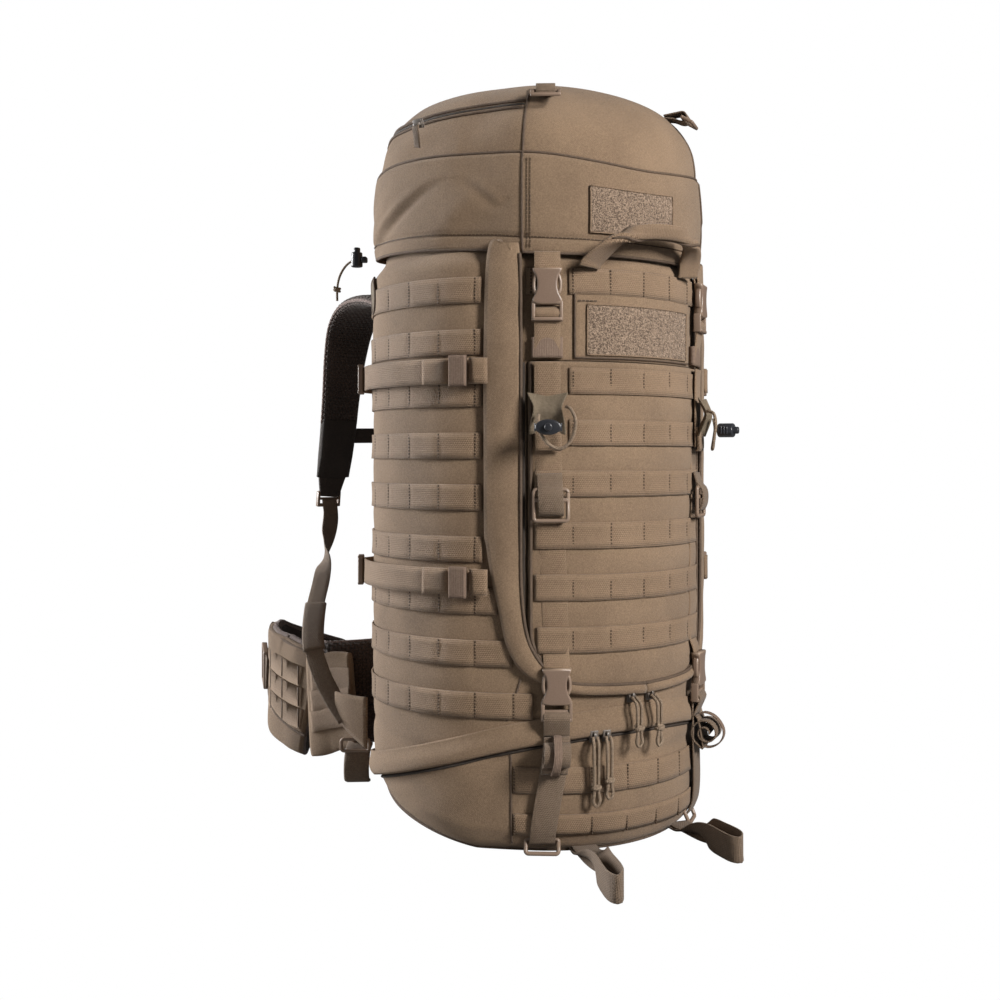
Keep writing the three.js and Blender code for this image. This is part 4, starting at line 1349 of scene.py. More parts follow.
FLAP_CLOTH = finish_of("holder_flap", (0.125, 0.095, 0.062), (0.205, 0.158, 0.108), 0.75,
                       warp=0.001, weft=0.0014, relief=0.0005)
for side, sign in SIDES:
    s = strap_s(sign, 0.430)
    seat = facing(s, 0.0062, 0.430)
    holder = bmesh.new()

    def holder_place(u, v):
        down, across = 1 - v, 2 * u - 1
        half_wide = 0.0190 - 0.0050 * math.sin(math.pi * down) + 0.0012 * math.cos(9 * down)
        tilt = 0.0020 + 0.0065 * math.exp(-((down - 0.42) / 0.28) ** 2) * (1
                                                                           - 0.45 * across * across)
        curl = 0.0050 * abs(across) ** 3 * (0.4 + math.sin(math.pi * down))
        z = 0.0190 - 0.038 * down + 0.0045 * (abs(across) - 0.5) * (1 - 2 * down)
        return seat @ Vector((across * half_wide, -tilt - curl - 0.0012, z))

    shaped(holder, holder_place, (12, 14), lambda u, v: (0.036 * u, 0.0378 * (1 - v)))
    outward(holder)
    finished_sheet(f"pole_flap_{side}", holder, FLAP_CLOTH, "door", 0.0016,
                   (f"pole_holder_{side}",), sub=1)

    lock_seat = facing(s, 0.028, 0.416)
    lock = bmesh.new()
    bmesh.ops.create_cone(lock, cap_ends=True, segments=40, radius1=0.0064, radius2=0.0064,
                          depth=0.0165, matrix=Matrix.Rotation(math.radians(90), 4, "X"))
    for vert in lock.verts:
        vert.co = Vector((vert.co.x * 1.95, vert.co.y - 0.0085, vert.co.z * 1.15))
    eased_rims(lock, 1, 0.0016)
    for rib in (-0.0052, -0.0082, -0.0112):
        for ribbed_side in (1, -1):
            rounded_block(lock, (0.0013, 0.0016, 0.0080), (ribbed_side * 0.0124, rib, 0), Matrix(),
                          0.0005, 2)
    bmesh.ops.transform(lock, matrix=lock_seat, verts=lock.verts)
    moulded(f"pole_lock_{side}", lock, "door", BLACK, (f"pole_lock_{side}",))
    button = bmesh.new()
    bmesh.ops.create_cone(button, cap_ends=True, segments=28, radius1=0.0040, radius2=0.0036,
                          depth=0.0105, matrix=Matrix.Translation((0, -0.0165, 0))
                          @ Matrix.Rotation(math.radians(90), 4, "X"))
    eased_rims(button, 1, 0.0011)
    bmesh.ops.transform(button, matrix=lock_seat, verts=button.verts)
    moulded(f"pole_lock_button_{side}", button, f"pole_button_{side}", BLACK,
            (f"pole_lock_button_{side}",))

# ---- Carrying handle ----
# Wide webbing sewn down at both ends, its middle folded round a core into a thick grip with a
# seam along its lower edge.
HANDLE_LINE = [(-0.0640, -0.1464, 0.5716), (-0.0632, -0.1492, 0.5765), (-0.0590, -0.1560, 0.5830),
               (-0.0490, -0.1680, 0.5950), (-0.0280, -0.1780, 0.6040), (0, -0.1815, 0.6075),
               (0.0280, -0.1780, 0.6065), (0.0490, -0.1680, 0.6000), (0.0590, -0.1560, 0.5880),
               (0.0632, -0.1492, 0.5775), (0.0640, -0.1464, 0.5718)]
grip = bmesh.new()
handle_places = smoothed(HANDLE_LINE, 0.0028)


def handle_across(t):
    tilt = math.pi * eased(t, 0.02, 0.98)
    return Vector((math.cos(tilt), -0.35 * math.sin(tilt) ** 2, math.sin(tilt)))


def handle_width(t):
    folded = eased(t, 0.08, 0.24) * (1 - eased(t, 0.76, 0.92))
    return 1 - 0.42 * folded, 1 + 2.9 * folded


swept(grip, flat_section(0.0254, 0.0026, 0.48), handle_places, handle_across, grow=handle_width)
made_piece("handle_grip", grip, WEBBING, "handle", ("carry_handle",))
grip_seam = []
for i, place in enumerate(handle_places[12:-12]):
    t = (i + 12) / (len(handle_places) - 1)
    ahead = (handle_places[i + 13] - handle_places[i + 11]).normalized()
    wide = handle_across(t)
    wide = (wide - ahead * wide.dot(ahead)).normalized()
    grip_seam.append(place - wide * 0.0076)
bound_edge("handle_piping", grip_seam, 0.0030, PIPING, "handle")

# ---- Side compression straps ----
# Two 25 mm straps a side run back from a folded, sewn end, through an elastic keeper, to a
# ladder lock at the back corner.
for side, sign in SIDES:
    for level, height in (("upper", 0.472), ("lower", 0.266)):
        start, finish_at = 0.1590, cloth_at(119)
        strap = bmesh.new()
        parts = [((start + 0.010, finish_at), 0.0060), ((start + 0.036, start + 0.066), 0.0086),
                 ((start - 0.001, start + 0.0150), 0.0112),
                 ((start + 0.002, start + 0.0165), 0.0088)]
        for ends, off in parts:
            def bowed(s, z, off=off, ends=ends):
                ease = 0.0022 * eased(abs(abs(s) - min(ends)), 0, 0.006)
                return off - 0.0022 + ease + 0.0010 * noise.noise(Vector((s * 40, z * 30, 2)))
            laid(strap, (sign * ends[0], sign * ends[1]),
                 (height - WEB_WIDE / 2, height + WEB_WIDE / 2), bowed,
                 (max(4, round((ends[1] - ends[0]) / 0.004)), 4))
        outward(strap)
        finished_sheet(f"compression_{level}_{side}", strap, WEBBING, "root", 0.0018,
                       (f"compression_strap_{level}_{side}",))
        sleeve = bmesh.new()
        laid(sleeve, (sign * (start + 0.0190), sign * (start + 0.0345)),
             (height - 0.0150, height + 0.0150), 0.0102, (8, 10))
        outward(sleeve)
        finished_sheet(f"compression_keeper_{level}_{side}", sleeve, ELASTIC, "root",
                       0.0058)
        lock = bmesh.new()
        seat = facing(sign * cloth_at(120.5), 0.0052, height) @ Matrix.Rotation(math.radians(90), 4,
                                                                                "Y")
        for along_bar, deep, tall in ((0.0070, 0.0052, 0.0030), (-0.0005, 0.0046, 0.0030),
                                      (-0.0085, 0.0070, 0.0036)):
            rounded_block(lock, (0.0300, deep, tall), (0, -0.0048, along_bar), seat, 0.0011)
        for rail in (-0.0142, 0.0142):
            rounded_block(lock, (0.0032, 0.0062, 0.0195), (rail, -0.0046, -0.0008), seat, 0.0010)
        moulded(f"compression_lock_{level}_{side}", lock, "root")
        tail = bmesh.new()
        back = sign * cloth_at(119)
        tail_line = [on_oval(back + sign * along_it, off, height - drop) for along_it, off,
                     drop in ((-0.004, 0.0062, 0), (0.002, 0.0115, 0), (0.009, 0.0125, 0.0005),
                              (0.019, 0.0078, 0.001), (0.034, 0.0038, 0.001), (0.060, 0.0034, 0))]
        swept(tail, flat_section(WEB_WIDE, 0.0017), smoothed(tail_line, 0.003),
              lambda t: Vector((0, 0, 1)))
        made_piece(f"compression_tail_{level}_{side}", tail, WEBBING, "root")

# ---- Floor loops ----
# Webbing loops sewn in under the front edge: flat where they leave the pack, twisting on to
# their edge at the toe.
for side, sign in SIDES:
    root_at = Vector((sign * 0.066, -0.146, 0.0006))
    toe = Vector((-0.120, -0.258, 0.0)) if side == "left" else Vector((0.043, -0.242, 0.0))
    reach = toe - root_at
    reach.z = 0
    ahead, beside = reach.normalized(), reach.normalized().cross(Vector((0, 0, 1)))
    side_line = [(0.0010, -0.26, 0.0026), (0.0012, -0.06, 0.0030), (0.0022, 0.12, 0.0058),
                 (0.0052, 0.42, 0.0118), (0.0076, 0.74, 0.0134), (0.0062, 0.93, 0.0134)]
    line = [root_at + reach * along_it + beside * -out + Vector((0, 0, z + 0.0018)) for out,
            along_it, z in side_line]
    line.append(root_at + reach + Vector((0, 0, 0.0134)))
    line += [root_at + reach * along_it + beside * out + Vector((0, 0, z)) for out, along_it,
             z in reversed(side_line)]
    loop = bmesh.new()

    def loop_across(t):
        stand = eased(min(t, 1 - t), 0.06, 0.36)
        return (beside * (1 - stand) * (-1 if t < 0.5 else 1) + Vector((0, 0, stand))).normalized()

    swept(loop, flat_section(WEB_WIDE, 0.0018), smoothed(line, 0.003), loop_across)
    made_piece(f"floor_loop_{side}", loop, DARK_WEBBING, "root", (f"floor_loop_{side}",))

# ---- Harness ----
# Foam pads faced with knitted spacer mesh: a quilted back pad, two curved shoulder straps with a
# smooth end cover, and a padded lumbar part.
SPACER = finish_of("spacer_mesh", (0.012, 0.008, 0.006), (0.080, 0.050, 0.038), 0.85, warp=0.0033,
                   weft=0.0042, relief=0.0014, fleck=0.002, sheen=0.12)
RIM = finish_of("mesh_rim", (0.11, 0.07, 0.058), (0.24, 0.165, 0.14), 0.85, warp=0.0022,
                weft=0.0036, relief=0.0012, sheen=0.3)
COVER = finish_of("end_cover", (0.022, 0.016, 0.013), (0.04, 0.029, 0.023), 0.7, warp=0.0009,
                  relief=0.0003)
BLACK_WEBBING = finish_of("dark_webbing", (0.03, 0.022, 0.018), (0.055, 0.041, 0.033), 0.7,
                          warp=0.0011, weft=0.0019, relief=0.0005)


def pad_section(tall, thick, count=28, square=0.42):
    """A cushion's section: nearly flat faces that round over at the edges."""
    points = []
    for k in range(count):
        a = 2 * math.pi * (k + 0.5) / count
        c, s = math.cos(a), math.sin(a)
        points.append((math.copysign(abs(c) ** square, c) * tall / 2,
                       math.copysign(abs(s) ** 0.7, s) * thick / 2))
    return points


def end_rounding(t, ends=0.04):
    near = min(1, min(t, 1 - t) / ends)
    return math.sqrt(max(0.05, near * (2 - near)))


back = bmesh.new()
back_line = smoothed([(-0.092, 0.158, 0.375), (-0.045, 0.163, 0.375), (0, 0.1645, 0.375),
                      (0.045, 0.163, 0.375), (0.092, 0.158, 0.375)], 0.003)
swept(back, pad_section(0.336, 0.0130, 64, 0.16), back_line, lambda t: Vector((0, 0, 1)),
      grow=lambda t: (0.97 + 0.03 * end_rounding(t, 0.12), end_rounding(t, 0.12)))
for vert in back.verts:
    channels = math.exp(-((abs(vert.co.x) - 0.032) / 0.004) ** 2) + 0.8 * math.exp(
        -(((vert.co.z - 0.205) % 0.085 - 0.0425) / 0.005) ** 2)
    if vert.co.y > 0.160:
        vert.co.y -= 0.0045 * min(1, channels)
back_pad = made_piece("back_pad", back, SPACER, "root", ("back_pad",))

STRAP_LINE = [(0.168, 0.556), (0.205, 0.572), (0.250, 0.578), (0.290, 0.572), (0.318, 0.552),
              (0.334, 0.516), (0.345, 0.470), (0.356, 0.415), (0.3700, 0.362)]
COVER_FROM = 0.80
for side, sign in SIDES:
    body = f"shoulder_{side}"
    line = smoothed([(sign * 0.085, y, z) for y, z in STRAP_LINE], 0.0020)
    pad = bmesh.new()
    rounds = swept(pad, pad_section(0.066, 0.0150, 36), line[:round(len(line) * COVER_FROM)],
                   lambda t: Vector((1, 0, 0)),
                   grow=lambda t: (1 - 0.26 * eased(t, 0.35, 1.0),
                                   0.94 + 0.06 * end_rounding(t, 0.03)))
    for run, ring in rounds:
        hub = sum((v.co for v in ring), Vector()) / len(ring)
        for vert in ring:
            across_it = abs(vert.co.x - hub.x)
            rib = math.sin(2 * math.pi * (run + across_it * 0.45) / 0.0068)
            vert.co += (vert.co - hub).normalized() * 0.0006 * rib
    shoulder = made_piece(f"shoulder_pad_{side}", pad, SPACER, body,
                          (f"shoulder_strap_{side}",))
    for edge in (-1, 1):
        edge_line = [place + Vector((edge * 0.0325
                                     * (1 - 0.26 * eased(i / (len(line) * COVER_FROM), 0.35, 1.0)),
                                     0, 0)) for i,
                     place in enumerate(line[:round(len(line) * COVER_FROM)])]
        bound_edge(f"shoulder_edge_{side}_{'outer' if edge == sign else 'inner'}", edge_line,
                   0.0042, RIM, body)
    cover = bmesh.new()
    swept(cover, pad_section(0.0500, 0.0160, 28), line[round(len(line) * COVER_FROM) - 4:],
          lambda t: Vector((1, 0, 0)), grow=lambda t: (1 - 0.08 * t, 1 - 0.45 * eased(t, 0.6, 1.0)))
    made_piece(f"shoulder_cover_{side}", cover, COVER, body)
    wedge = bmesh.new()
    wedge_line = smoothed([(sign * 0.086, 0.3690, 0.3660), (sign * 0.087, 0.3725, 0.3500),
                           (sign * 0.088, 0.3740, 0.3360)], 0.002)
    swept(wedge, flat_section(0.040, 0.0048), wedge_line, lambda t: Vector((1, 0, 0)),
          grow=lambda t: (1 - 0.34 * t, 1))
    made_piece(f"shoulder_wedge_{side}", wedge, BLACK_WEBBING, body)
    lock = bmesh.new()
    seat = Matrix.Translation((sign * 0.088, 0.3770, 0.3330)) @ Matrix.Rotation(math.radians(8), 4,
                                                                                "X")
    for rise, deep, tall in ((0.0090, 0.0060, 0.0032), (0.0005, 0.0052, 0.0030),
                             (-0.0080, 0.0080, 0.0038)):
        rounded_block(lock, (0.0310, deep, tall), (0, 0, rise), seat, 0.0012)
    for rail in (-0.0146, 0.0146):
        rounded_block(lock, (0.0034, 0.0066, 0.0200), (rail, 0, 0), seat, 0.0010)
    moulded(f"shoulder_lock_{side}", lock, body)

    run = smoothed([(sign * x, y, z) for x, y,
                    z in ((0.088, 0.3745, 0.3330), (0.088, 0.3700, 0.3080), (0.112, 0.3330, 0.2760),
                          (0.146, 0.2760, 0.2400), (0.176, 0.2310, 0.2100),
                          (0.1935, 0.1990, 0.1760), (0.1955, 0.1760, 0.1460),
                          (0.1900, 0.1520, 0.1170), (0.1840, 0.1330, 0.0980))], 0.003)
    fixed_at, swings_at = (sign * 0.1935, 0.1990, 0.1760), (sign * 0.088, 0.3745, 0.3330)

    def webbing_across(t):
        turn = math.radians(56 * eased(t, 0.06, 0.26) + 90 * eased(t, 0.24, 0.44))
        return Vector((math.cos(turn), -sign * math.sin(turn), 0.10 * eased(t, 0.6, 1.0)))

    lower = bmesh.new()
    swept(lower, flat_section(0.0205, 0.0017), run, webbing_across)
    webbing = made_piece(f"shoulder_webbing_{side}", lower, DARK_WEBBING, None,
                         (f"strap_webbing_{side}",))
    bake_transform(webbing)
    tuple(fixed_at)
    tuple(swings_at)
    folded = bmesh.new()
    count = len(run)
    fold_from, fold_to = round(count * 0.56), round(count * 0.75)
    folded_line = run[fold_from:fold_to]
    span = (fold_to - fold_from) / (count - 1)
    swept(folded, flat_section(0.0250, 0.0046, 0.4), folded_line,
          lambda t: webbing_across(fold_from / (count - 1) + span * t))
    folded_end = made_piece(f"shoulder_folded_end_{side}", folded, DARK_WEBBING, None)
    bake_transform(folded_end)
    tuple(fixed_at)
    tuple(swings_at)

    lifter = bmesh.new()
    lifter_line = smoothed([(sign * 0.085, y, z) for y,
                            z in ((0.1500, 0.5640), (0.1560, 0.5760), (0.1800, 0.5850),
                                  (0.2100, 0.5875), (0.2450, 0.5868))], 0.004)
    swept(lifter, flat_section(0.0205, 0.0017), lifter_line, lambda t: Vector((1, 0, 0)))
    load_lifter = made_piece(f"load_lifter_{side}", lifter, BLACK_WEBBING, None)
    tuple(lifter_line[0])
    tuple(lifter_line[-1])
    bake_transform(load_lifter)

# The chest strap: narrow webbing from strap to strap with a small side-release buckle.
chest = bmesh.new()
chest_line = smoothed([(-0.063, 0.3600, 0.4160), (-0.03, 0.3640, 0.4165), (0, 0.3650, 0.4170),
                       (0.03, 0.3640, 0.4165), (0.063, 0.3600, 0.4160)], 0.004)
swept(chest, flat_section(0.0195, 0.0018), chest_line, lambda t: Vector((0, 0, 1)))
made_piece("chest_strap", chest, BLACK_WEBBING, "shoulder_left", ("chest_strap",))
chest_buckle = bmesh.new()
turned_flat = Matrix.Translation((0.002, 0.3610, 0.4170)) @ Matrix.Rotation(math.radians(180), 4, "Z") \
    @ Matrix.Rotation(math.radians(90), 4, "Y")
female_half(chest_buckle, turned_flat, 0.0225, 0.026)
male_half(chest_buckle, turned_flat, 0.0215, 0.017)
moulded("chest_buckle", chest_buckle, "shoulder_left")

# ---- Hip belt ----
# A lumbar part on the bag and two wings, each a mesh pad under a panel of the bag's cloth with a
# bound edge, a webbing grid, a curved lower panel and a ladder lock for the belt webbing.
WING_LINE = [(0.186, 0.217), (0.197, 0.245), (0.199, 0.290), (0.175, 0.325), (0.125, 0.344),
             (0.078, 0.350)]
WING_MIDDLE = [(0.0, 0.1030), (0.25, 0.1150), (0.47, 0.1310), (0.75, 0.1270), (1.0, 0.1240)]
WING_HALF = [(0.0, 0.0620), (0.25, 0.0630), (0.47, 0.0550), (0.75, 0.0380), (1.0, 0.0230)]


def wing_piece(name, sign, finish, outward_by, thick, taller, body, replaced=()):
    """One layer of a wing, standing off its line by outward_by."""
    flat = smoothed([(x, y, 0) for x, y in WING_LINE], 0.003)
    places = []
    for i, place in enumerate(flat):
        ahead = (flat[min(i + 1, len(flat) - 1)] - flat[max(i - 1, 0)]).normalized()
        moved = place + Vector((ahead.y, -ahead.x, 0)) * outward_by
        places.append(Vector((sign * moved.x, moved.y,
                              from_line(WING_MIDDLE, i / (len(flat) - 1)))))
    mesh = bmesh.new()
    swept(mesh, pad_section(1.0, thick, 44, 0.22), places, lambda t: Vector((0, 0, 1)),
          grow=lambda t: (2 * (from_line(WING_HALF, t) + taller)
                          * (0.9 + 0.1 * end_rounding(max(t, 0.5))), end_rounding(max(t, 0.5))))
    return made_piece(name, mesh, finish, body,
                      replaced)


def wing_place(sign, t, height_share, off):
    """A place on a wing: t along it, and a share of its half height up from its middle."""
    flat = smoothed([(x, y, 0) for x, y in WING_LINE], 0.003)
    i = min(len(flat) - 2, max(1, round(t * (len(flat) - 1))))
    ahead = (flat[i + 1] - flat[i - 1]).normalized()
    moved = flat[i] + Vector((ahead.y, -ahead.x, 0)) * off
    return Vector((sign * moved.x, moved.y, from_line(WING_MIDDLE, t)
                   + from_line(WING_HALF, t) * height_share))


for side, sign in SIDES:
    body = f"wing_{side}"
    wing = wing_piece(f"wing_pad_{side}", sign, RIM, -0.0030, 0.0120, 0.0030, body,
                      (f"hip_wing_{side}",))
    wing_piece(f"wing_inner_mesh_{side}", sign, SPACER, -0.0052, 0.0100, -0.0020, body)
    wing_piece(f"wing_panel_{side}", sign, CLOTH, 0.0030, 0.0110, 0.0, body)
    for label, share in (("upper", 0.46), ("middle", 0.06), ("lower", -0.34)):
        strip = bmesh.new()
        places = [wing_place(sign, 0.035 + 0.415 * k / 60, share, 0.0086) for k in range(61)]
        swept(strip, flat_section(0.0235, 0.0014), places, lambda t: Vector((0, 0, 1)))
        made_piece(f"wing_row_{label}_{side}", strip, WEBBING, body)
        tacks = bmesh.new()
        for k in range(4):
            t = 0.06 + 0.125 * k
            a, b = wing_place(sign, t - 0.02, share, 0.0094), wing_place(sign, t + 0.02, share,
                                                                         0.0094)
            turn = Matrix.Rotation(math.atan2(b.y - a.y, b.x - a.x), 4, "Z")
            bmesh.ops.create_cube(tacks, size=1, matrix=Matrix.Translation((a + b) / 2) @ turn
                                  @ Matrix.Diagonal((0.0012, 0.0010, 0.0215, 1)))
        made_piece(f"wing_tacks_{label}_{side}", tacks, THREAD, body)
    curve = [wing_place(sign, t, share, 0.0085) for t,
             share in ((0.005, -0.62), (0.08, -0.60), (0.17, -0.56), (0.27, -0.48), (0.38, -0.34),
                       (0.46, -0.05), (0.50, 0.35), (0.515, 0.78))]
    bound_edge(f"wing_piping_{side}", smoothed(curve, 0.003), 0.0034, PIPING, body)
    rim = [wing_place(sign, 0.01 + 0.97 * k / 70, 0.965, 0.0065) for k in range(71)]
    bound_edge(f"wing_top_piping_{side}", rim, 0.0036, PIPING, body)
    belt_lock = bmesh.new()
    corner = wing_place(sign, 0.45, 0.05, 0.0150)
    ahead = (wing_place(sign, 0.49, 0.05, 0.0150)
             - wing_place(sign, 0.41, 0.05, 0.0150)).normalized()
    leaning = ahead + corner  # the lock is pulled out along the belt and leans with it
    seat = Matrix((leaning, (ahead.y, -ahead.x, 0), (0, 0, 1))).transposed().to_4x4()
    seat.translation = corner
    for shift, deep in ((-0.0110, 0.0070), (0, 0.0056), (0.0110, 0.0070)):
        rounded_block(belt_lock, (0.0036, deep, 0.0440), (shift, 0, 0), seat, 0.0012)
    for rise in (-0.0210, 0.0210):
        rounded_block(belt_lock, (0.0255, 0.0066, 0.0036), (0, 0, rise), seat, 0.0012)
    moulded(f"belt_lock_{side}", belt_lock, body)
    belt_web = bmesh.new()
    places = [wing_place(sign, 0.36 + 0.62 * k / 40, 0.05,
                         0.0108 + 0.0040 * math.exp(-((k / 40 - 0.15) / 0.08) ** 2))
              for k in range(41)]
    places.append(Vector((-0.036 if side == "left" else 0.030, 0.3545, 0.1205)))
    swept(belt_web, flat_section(0.0380, 0.0022), smoothed(places, 0.004),
          lambda t: Vector((0, 0, 1)))
    made_piece(f"belt_webbing_{side}", belt_web, DARK_WEBBING, body)

across_front = Matrix.Translation((0, 0.3570, 0.1200)) @ Matrix.Rotation(math.radians(180), 4, "Z") \
    @ Matrix.Rotation(math.radians(90), 4, "Y")
belt_female = bmesh.new()
female_half(belt_female, across_front, 0.041, 0.036)
moulded("belt_buckle_female", belt_female, "wing_left", replaced=("hip_buckle_female",))
belt_male = bmesh.new()
male_half(belt_male, across_front, 0.041, 0.022)
moulded("belt_buckle_male", belt_male, "wing_right", replaced=("hip_buckle_male",))

BELT_ROOT = [(-0.181, 0.206), (-0.172, 0.190), (-0.140, 0.172), (-0.092, 0.163), (0, 0.1685),
             (0.092, 0.163), (0.140, 0.172), (0.172, 0.190), (0.181, 0.206)]
lumbar_line = smoothed([(x, y, 0.118) for x, y in BELT_ROOT], 0.004)
lumbar = bmesh.new()
swept(lumbar, pad_section(0.112, 0.0160, 44, 0.22), lumbar_line, lambda t: Vector((0, 0, 1)),
      grow=lambda t: (1.0 + 0.10 * math.sin(math.pi * t), end_rounding(t)))
for vert in lumbar.verts:
    channel = math.exp(-((abs(vert.co.x) - 0.055) / 0.004) ** 2) + math.exp(-((vert.co.z - 0.118)
                                                                              / 0.004) ** 2)
    if vert.co.y > 0.170 and abs(vert.co.x) < 0.15:
        vert.co.y -= 0.003 * min(1, channel)
for side, sign in SIDES:
    fixed_line = smoothed([(sign * x, y, z) for x, y,
                           z in ((0.1896, 0.2135, 0.1030), (0.1868, 0.2040, 0.1040),
                                 (0.1790, 0.1900, 0.1080), (0.1700, 0.1720, 0.1120),
                                 (0.1640, 0.1560, 0.1140))], 0.003)
    fixed = bmesh.new()
    swept(fixed, pad_section(0.122, 0.0090, 44, 0.22), fixed_line, lambda t: Vector((0, 0, 1)),
          grow=lambda t: (1.0 - 0.14 * t, 1))
    made_piece(f"belt_panel_{side}", fixed, CLOTH, "root")
    outside = Vector((sign * 0.0052, -0.0022, 0))
    for share in (0.46, 0.06, -0.34):
        strip = bmesh.new()
        swept(strip, flat_section(0.0235, 0.0014),
              [p + outside + Vector((0, 0, 0.061 * share * (1 - 0.14 * i / len(fixed_line))))
               for i, p in enumerate(fixed_line) if i > 1],
              lambda t: Vector((0, 0, 1)))
        made_piece(f"belt_row_{round(100 * share)}_{side}", strip, WEBBING, "root")
lumbar_pad = made_piece("lumbar_pad", lumbar, SPACER, "root", ("belt_back",))
top_line = [Vector((p.x, p.y, p.z + 0.056 * (1.0
                                             + 0.10
                                             * math.sin(math.pi * i / (len(lumbar_line) - 1)))))
            for i, p in enumerate(lumbar_line)]
bound_edge("lumbar_piping", top_line, 0.0042, RIM, "root")

# The tab that ties each shoulder strap to the bag's lower corner, with the belt's short webbing.
for side, sign in SIDES:
    tab = bmesh.new()
    root_s = sign * cloth_at(124)
    tip = Vector((sign * 0.1880, 0.1490, 0.1160))

    def tab_place(u, v):
        sewn = on_oval(root_s, 0.0030, 0.0700 + 0.0560 * v)
        bow = Vector((sign * 0.004, 0.002, 0)) * math.sin(math.pi * u)
        return sewn.lerp(tip + Vector((0, 0, (v - 0.5) * 0.022)), u) + bow

    shaped(tab, tab_place, (12, 8), lambda u, v: (0.048 * u, 0.032 * v))
    outward(tab)
    finished_sheet(f"corner_tab_{side}", tab, CLOTH, "root", 0.0030)
    block = bmesh.new()
    block_line = smoothed([(sign * x, y, z) for x, y,
                           z in ((0.1580, 0.1500, 0.0660), (0.1660, 0.1410, 0.0600),
                                 (0.1700, 0.1370, 0.0460), (0.1690, 0.1385, 0.0300),
                                 (0.1640, 0.1440, 0.0255))], 0.003)
    swept(block, flat_section(0.0280, 0.0044, 0.4), block_line,
          lambda t: Vector((0.83, sign * 0.56, 0)))
    made_piece(f"belt_tie_{side}", block, DARK_WEBBING, "root")
    tie_lock = bmesh.new()
    looped_wire(tie_lock, 0.0310, 0.0130, 0.0040,
                Matrix.Translation((sign * 0.1700, 0.1400, 0.0665))
                @ Matrix.Rotation(sign * math.radians(34), 4, "Z"))
    moulded(f"belt_tie_ring_{side}", tie_lock, "root")

# ---- Zip sliders ----
# Die-cast sliders with a bridge that the doubled cord runs through, two on each front zip and
# one, with a short webbing pull, on the lid.
SLIDER = finish_of("painted_slider", (0.045, 0.033, 0.026), (0.075, 0.056, 0.044), 0.4,
                   relief=0.00004, specular=0.6, worn=(0.30, 0.26, 0.22))


def slider_body(mesh, seat):
    rounded_block(mesh, (0.0086, 0.0014, 0.0120), (0, -0.0008, 0), seat, 0.0006, 3, 1.12)
    rounded_block(mesh, (0.0078, 0.0013, 0.0112), (0, -0.0034, 0.0003), seat, 0.0006, 3, 1.12)
    rounded_block(mesh, (0.0022, 0.0028, 0.0030), (0, -0.0021, 0.0042), seat, 0.0005)
    bent_bar(mesh, [(0, -0.0038, 0.0042), (0, -0.0062, 0.0032), (0, -0.0066, 0),
                    (0, -0.0062, -0.0028), (0, -0.0038, -0.0036)], 0.0026, 0.0012, seat, (1, 0, 0))


for node, bearing, height in (("bottom_slider_left", -19.5, 0.116),
                              ("bottom_slider_right", -15.0, 0.116),
                              ("door_slider_left", -5.5, 0.152), ("door_slider_right", 2.5, 0.152)):
    cast = bmesh.new()
    slider_body(cast, facing(cloth_at(bearing), 0.0012, height))
    moulded(node, cast, node.replace("slider", "zip"), SLIDER, (node,))

lid_slider_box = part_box("lid_slider")
slider_middle = (lid_slider_box[0] + lid_slider_box[1]) / 2
slider_seat = Matrix.Translation(slider_middle) @ Matrix.Rotation(math.radians(-70), 4, "Z") \
    @ Matrix.Translation((0, 0.0020, 0)) @ Matrix.Rotation(math.radians(24), 4, "X") \
    @ Matrix.Rotation(math.radians(90), 4, "Y")
lid_cast = bmesh.new()
slider_body(lid_cast, slider_seat)
moulded("lid_slider", lid_cast, "lid_zip", SLIDER, ("lid_slider",))
pull = bmesh.new()
pull_places = [slider_seat @ Vector(p) for p in ((0, -0.0058, 0.0000), (0.0050, -0.0070, -0.0010),
                                                 (0.0130, -0.0060, -0.0030),
                                                 (0.0220, -0.0050, -0.0060))]
swept(pull, flat_section(0.0075, 0.0020), smoothed(pull_places, 0.002),
      lambda t: slider_seat.to_3x3() @ Vector((0, 0, 1)))
made_piece("lid_slider_pull", pull, DARK_WEBBING, "lid_zip")

# ---- Lid rings ----
# Two plastic rings on the crown's front shoulder, each held by a short webbing loop.
for side, sign in SIDES:
    low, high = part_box(f"lid_ring_{side}")
    middle = (low + high) / 2
    seat = Matrix.Translation(middle) @ Matrix.Rotation(math.radians(sign * 36), 4, "Z") \
        @ Matrix.Rotation(math.radians(32), 4, "X")
    ring = bmesh.new()
    for bar in (-0.0060, 0.0060):
        rounded_block(ring, (0.0300, 0.0036, 0.0036), (0, bar, 0), seat, 0.0013)
    for rail in (-0.0130, 0.0130):
        rounded_block(ring, (0.0036, 0.0150, 0.0036), (rail, 0, 0), seat, 0.0013)
    moulded(f"lid_ring_{side}", ring, f"ring_{side}", replaced=(f"lid_ring_{side}",))
    loop = bmesh.new()
    hold = seat @ Vector((0, 0.0060, 0))
    back_way = seat.to_3x3() @ Vector((0, 1, 0))
    up_way = seat.to_3x3() @ Vector((0, 0, 1))
    places = [hold + back_way * back + up_way * up for back,
              up in ((0.020, -0.0070), (0.010, 0.0010), (0.0030, 0.0058), (-0.0030, 0.0032),
                     (-0.0036, -0.0012), (0.0010, -0.0042), (0.010, -0.0056), (0.020, -0.0100))]
    swept(loop, flat_section(0.0190, 0.0016), smoothed(places, 0.0015),
          lambda t: seat.to_3x3() @ Vector((1, 0, 0)))
    made_piece(f"lid_ring_loop_{side}", loop, DARK_WEBBING, "lid")

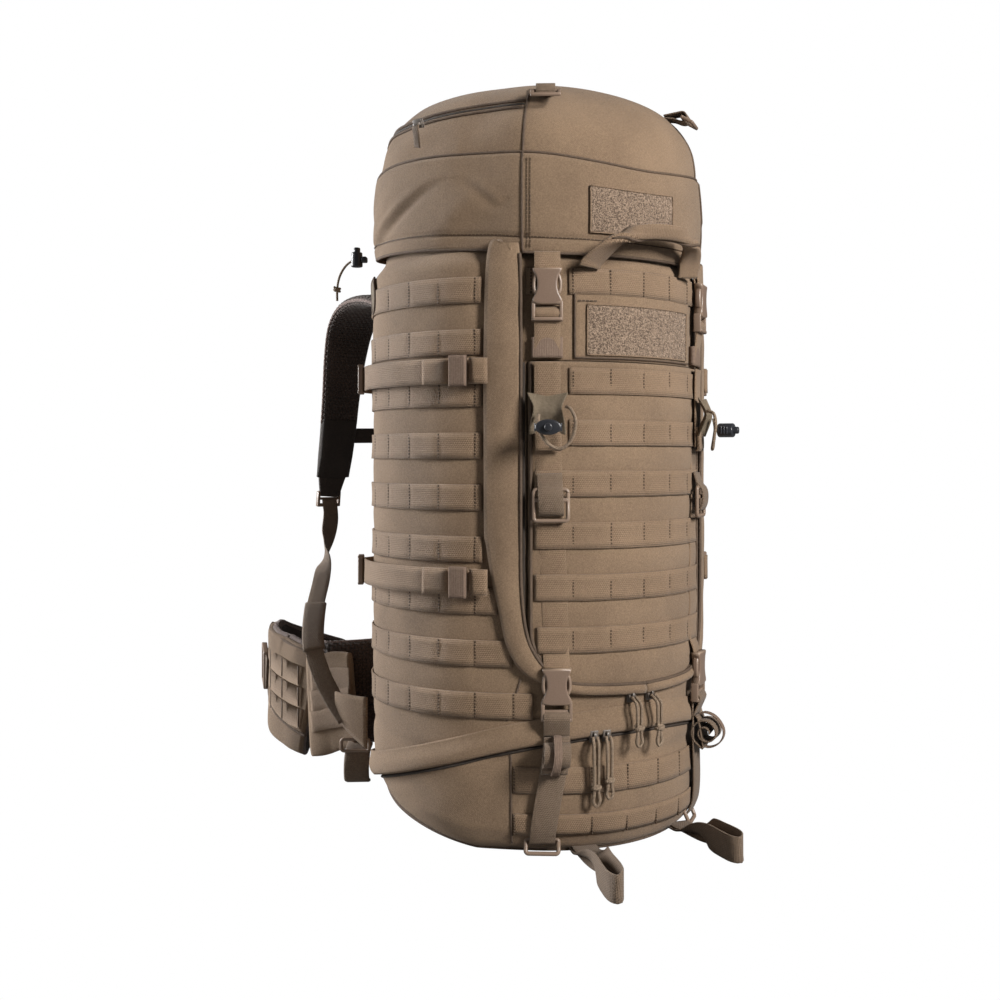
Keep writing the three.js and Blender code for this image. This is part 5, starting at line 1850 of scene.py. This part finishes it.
# ---- The lid's drawcord lock ----
# A small sprung cord lock at the hem's back corner; pressing its button frees the cord.
draw_seat = facing(cloth_at(DRAW_BEARING), DRAW_OFF, DRAW_HEIGHT)
for node, body, radius, bottom_at, top_at in (("draw_lock", "lid", 0.0064, 0.0005, 0.0165),
                                              ("draw_lock_button", "draw_button", 0.0039, 0.0125,
                                               0.0218)):
    barrel = bmesh.new()
    bmesh.ops.create_cone(barrel, cap_ends=True, segments=32, radius1=radius, radius2=radius * 0.94,
                          depth=top_at - bottom_at,
                          matrix=Matrix.Translation((0, 0, (bottom_at + top_at) / 2)))
    eased_rims(barrel, 2, 0.0014)
    if node == "draw_lock":
        rounded_block(barrel, (0.0105, 0.0062, 0.0060), (0, 0.0082, 0.0085), Matrix(), 0.0014)
    bmesh.ops.transform(barrel, matrix=draw_seat, verts=barrel.verts)
    moulded(node, barrel, body, BLACK, (node,))

# ---- Port cover ----
# A leaf-shaped doubled patch high on each back corner, over the slot for a hose or an aerial.
for side, sign in SIDES:
    leaf = bmesh.new()
    hub_s, hub_z = cloth_at(110), 0.5600
    rings = []
    for share in (0.02, 0.4, 0.75, 1.0):
        ring = []
        for k in range(36):
            a = 2 * math.pi * k / 36
            wide = 0.0125 * share * math.cos(a) * (1 + 0.25 * math.sin(a))
            tall = 0.0200 * share * math.sin(a)
            s, z = hub_s + wide + 0.125 * tall, hub_z + tall
            ring.append(leaf.verts.new(on_oval(sign * s,
                                               bag_off(sign * s, z) + 0.0036 - 0.0012 * share ** 3,
                                               z)))
        rings.append(ring)
    for inner, outer in zip(rings, rings[1:]):
        for k in range(36):
            n = (k + 1) % 36
            leaf.faces.new((inner[k], inner[n], outer[n], outer[k]))
    leaf.faces.new(rings[0])
    lay_cloth(leaf, lambda place: place.yz)
    outward(leaf)
    edge_line = [v.co.copy() for v in rings[-1]] + [rings[-1][0].co.copy()]
    finished_sheet(f"port_cover_{side}", leaf, FLAP_CLOTH, "root", 0.0020)
    bound_edge(f"port_cover_edge_{side}", edge_line, 0.0024, PIPING, "root")
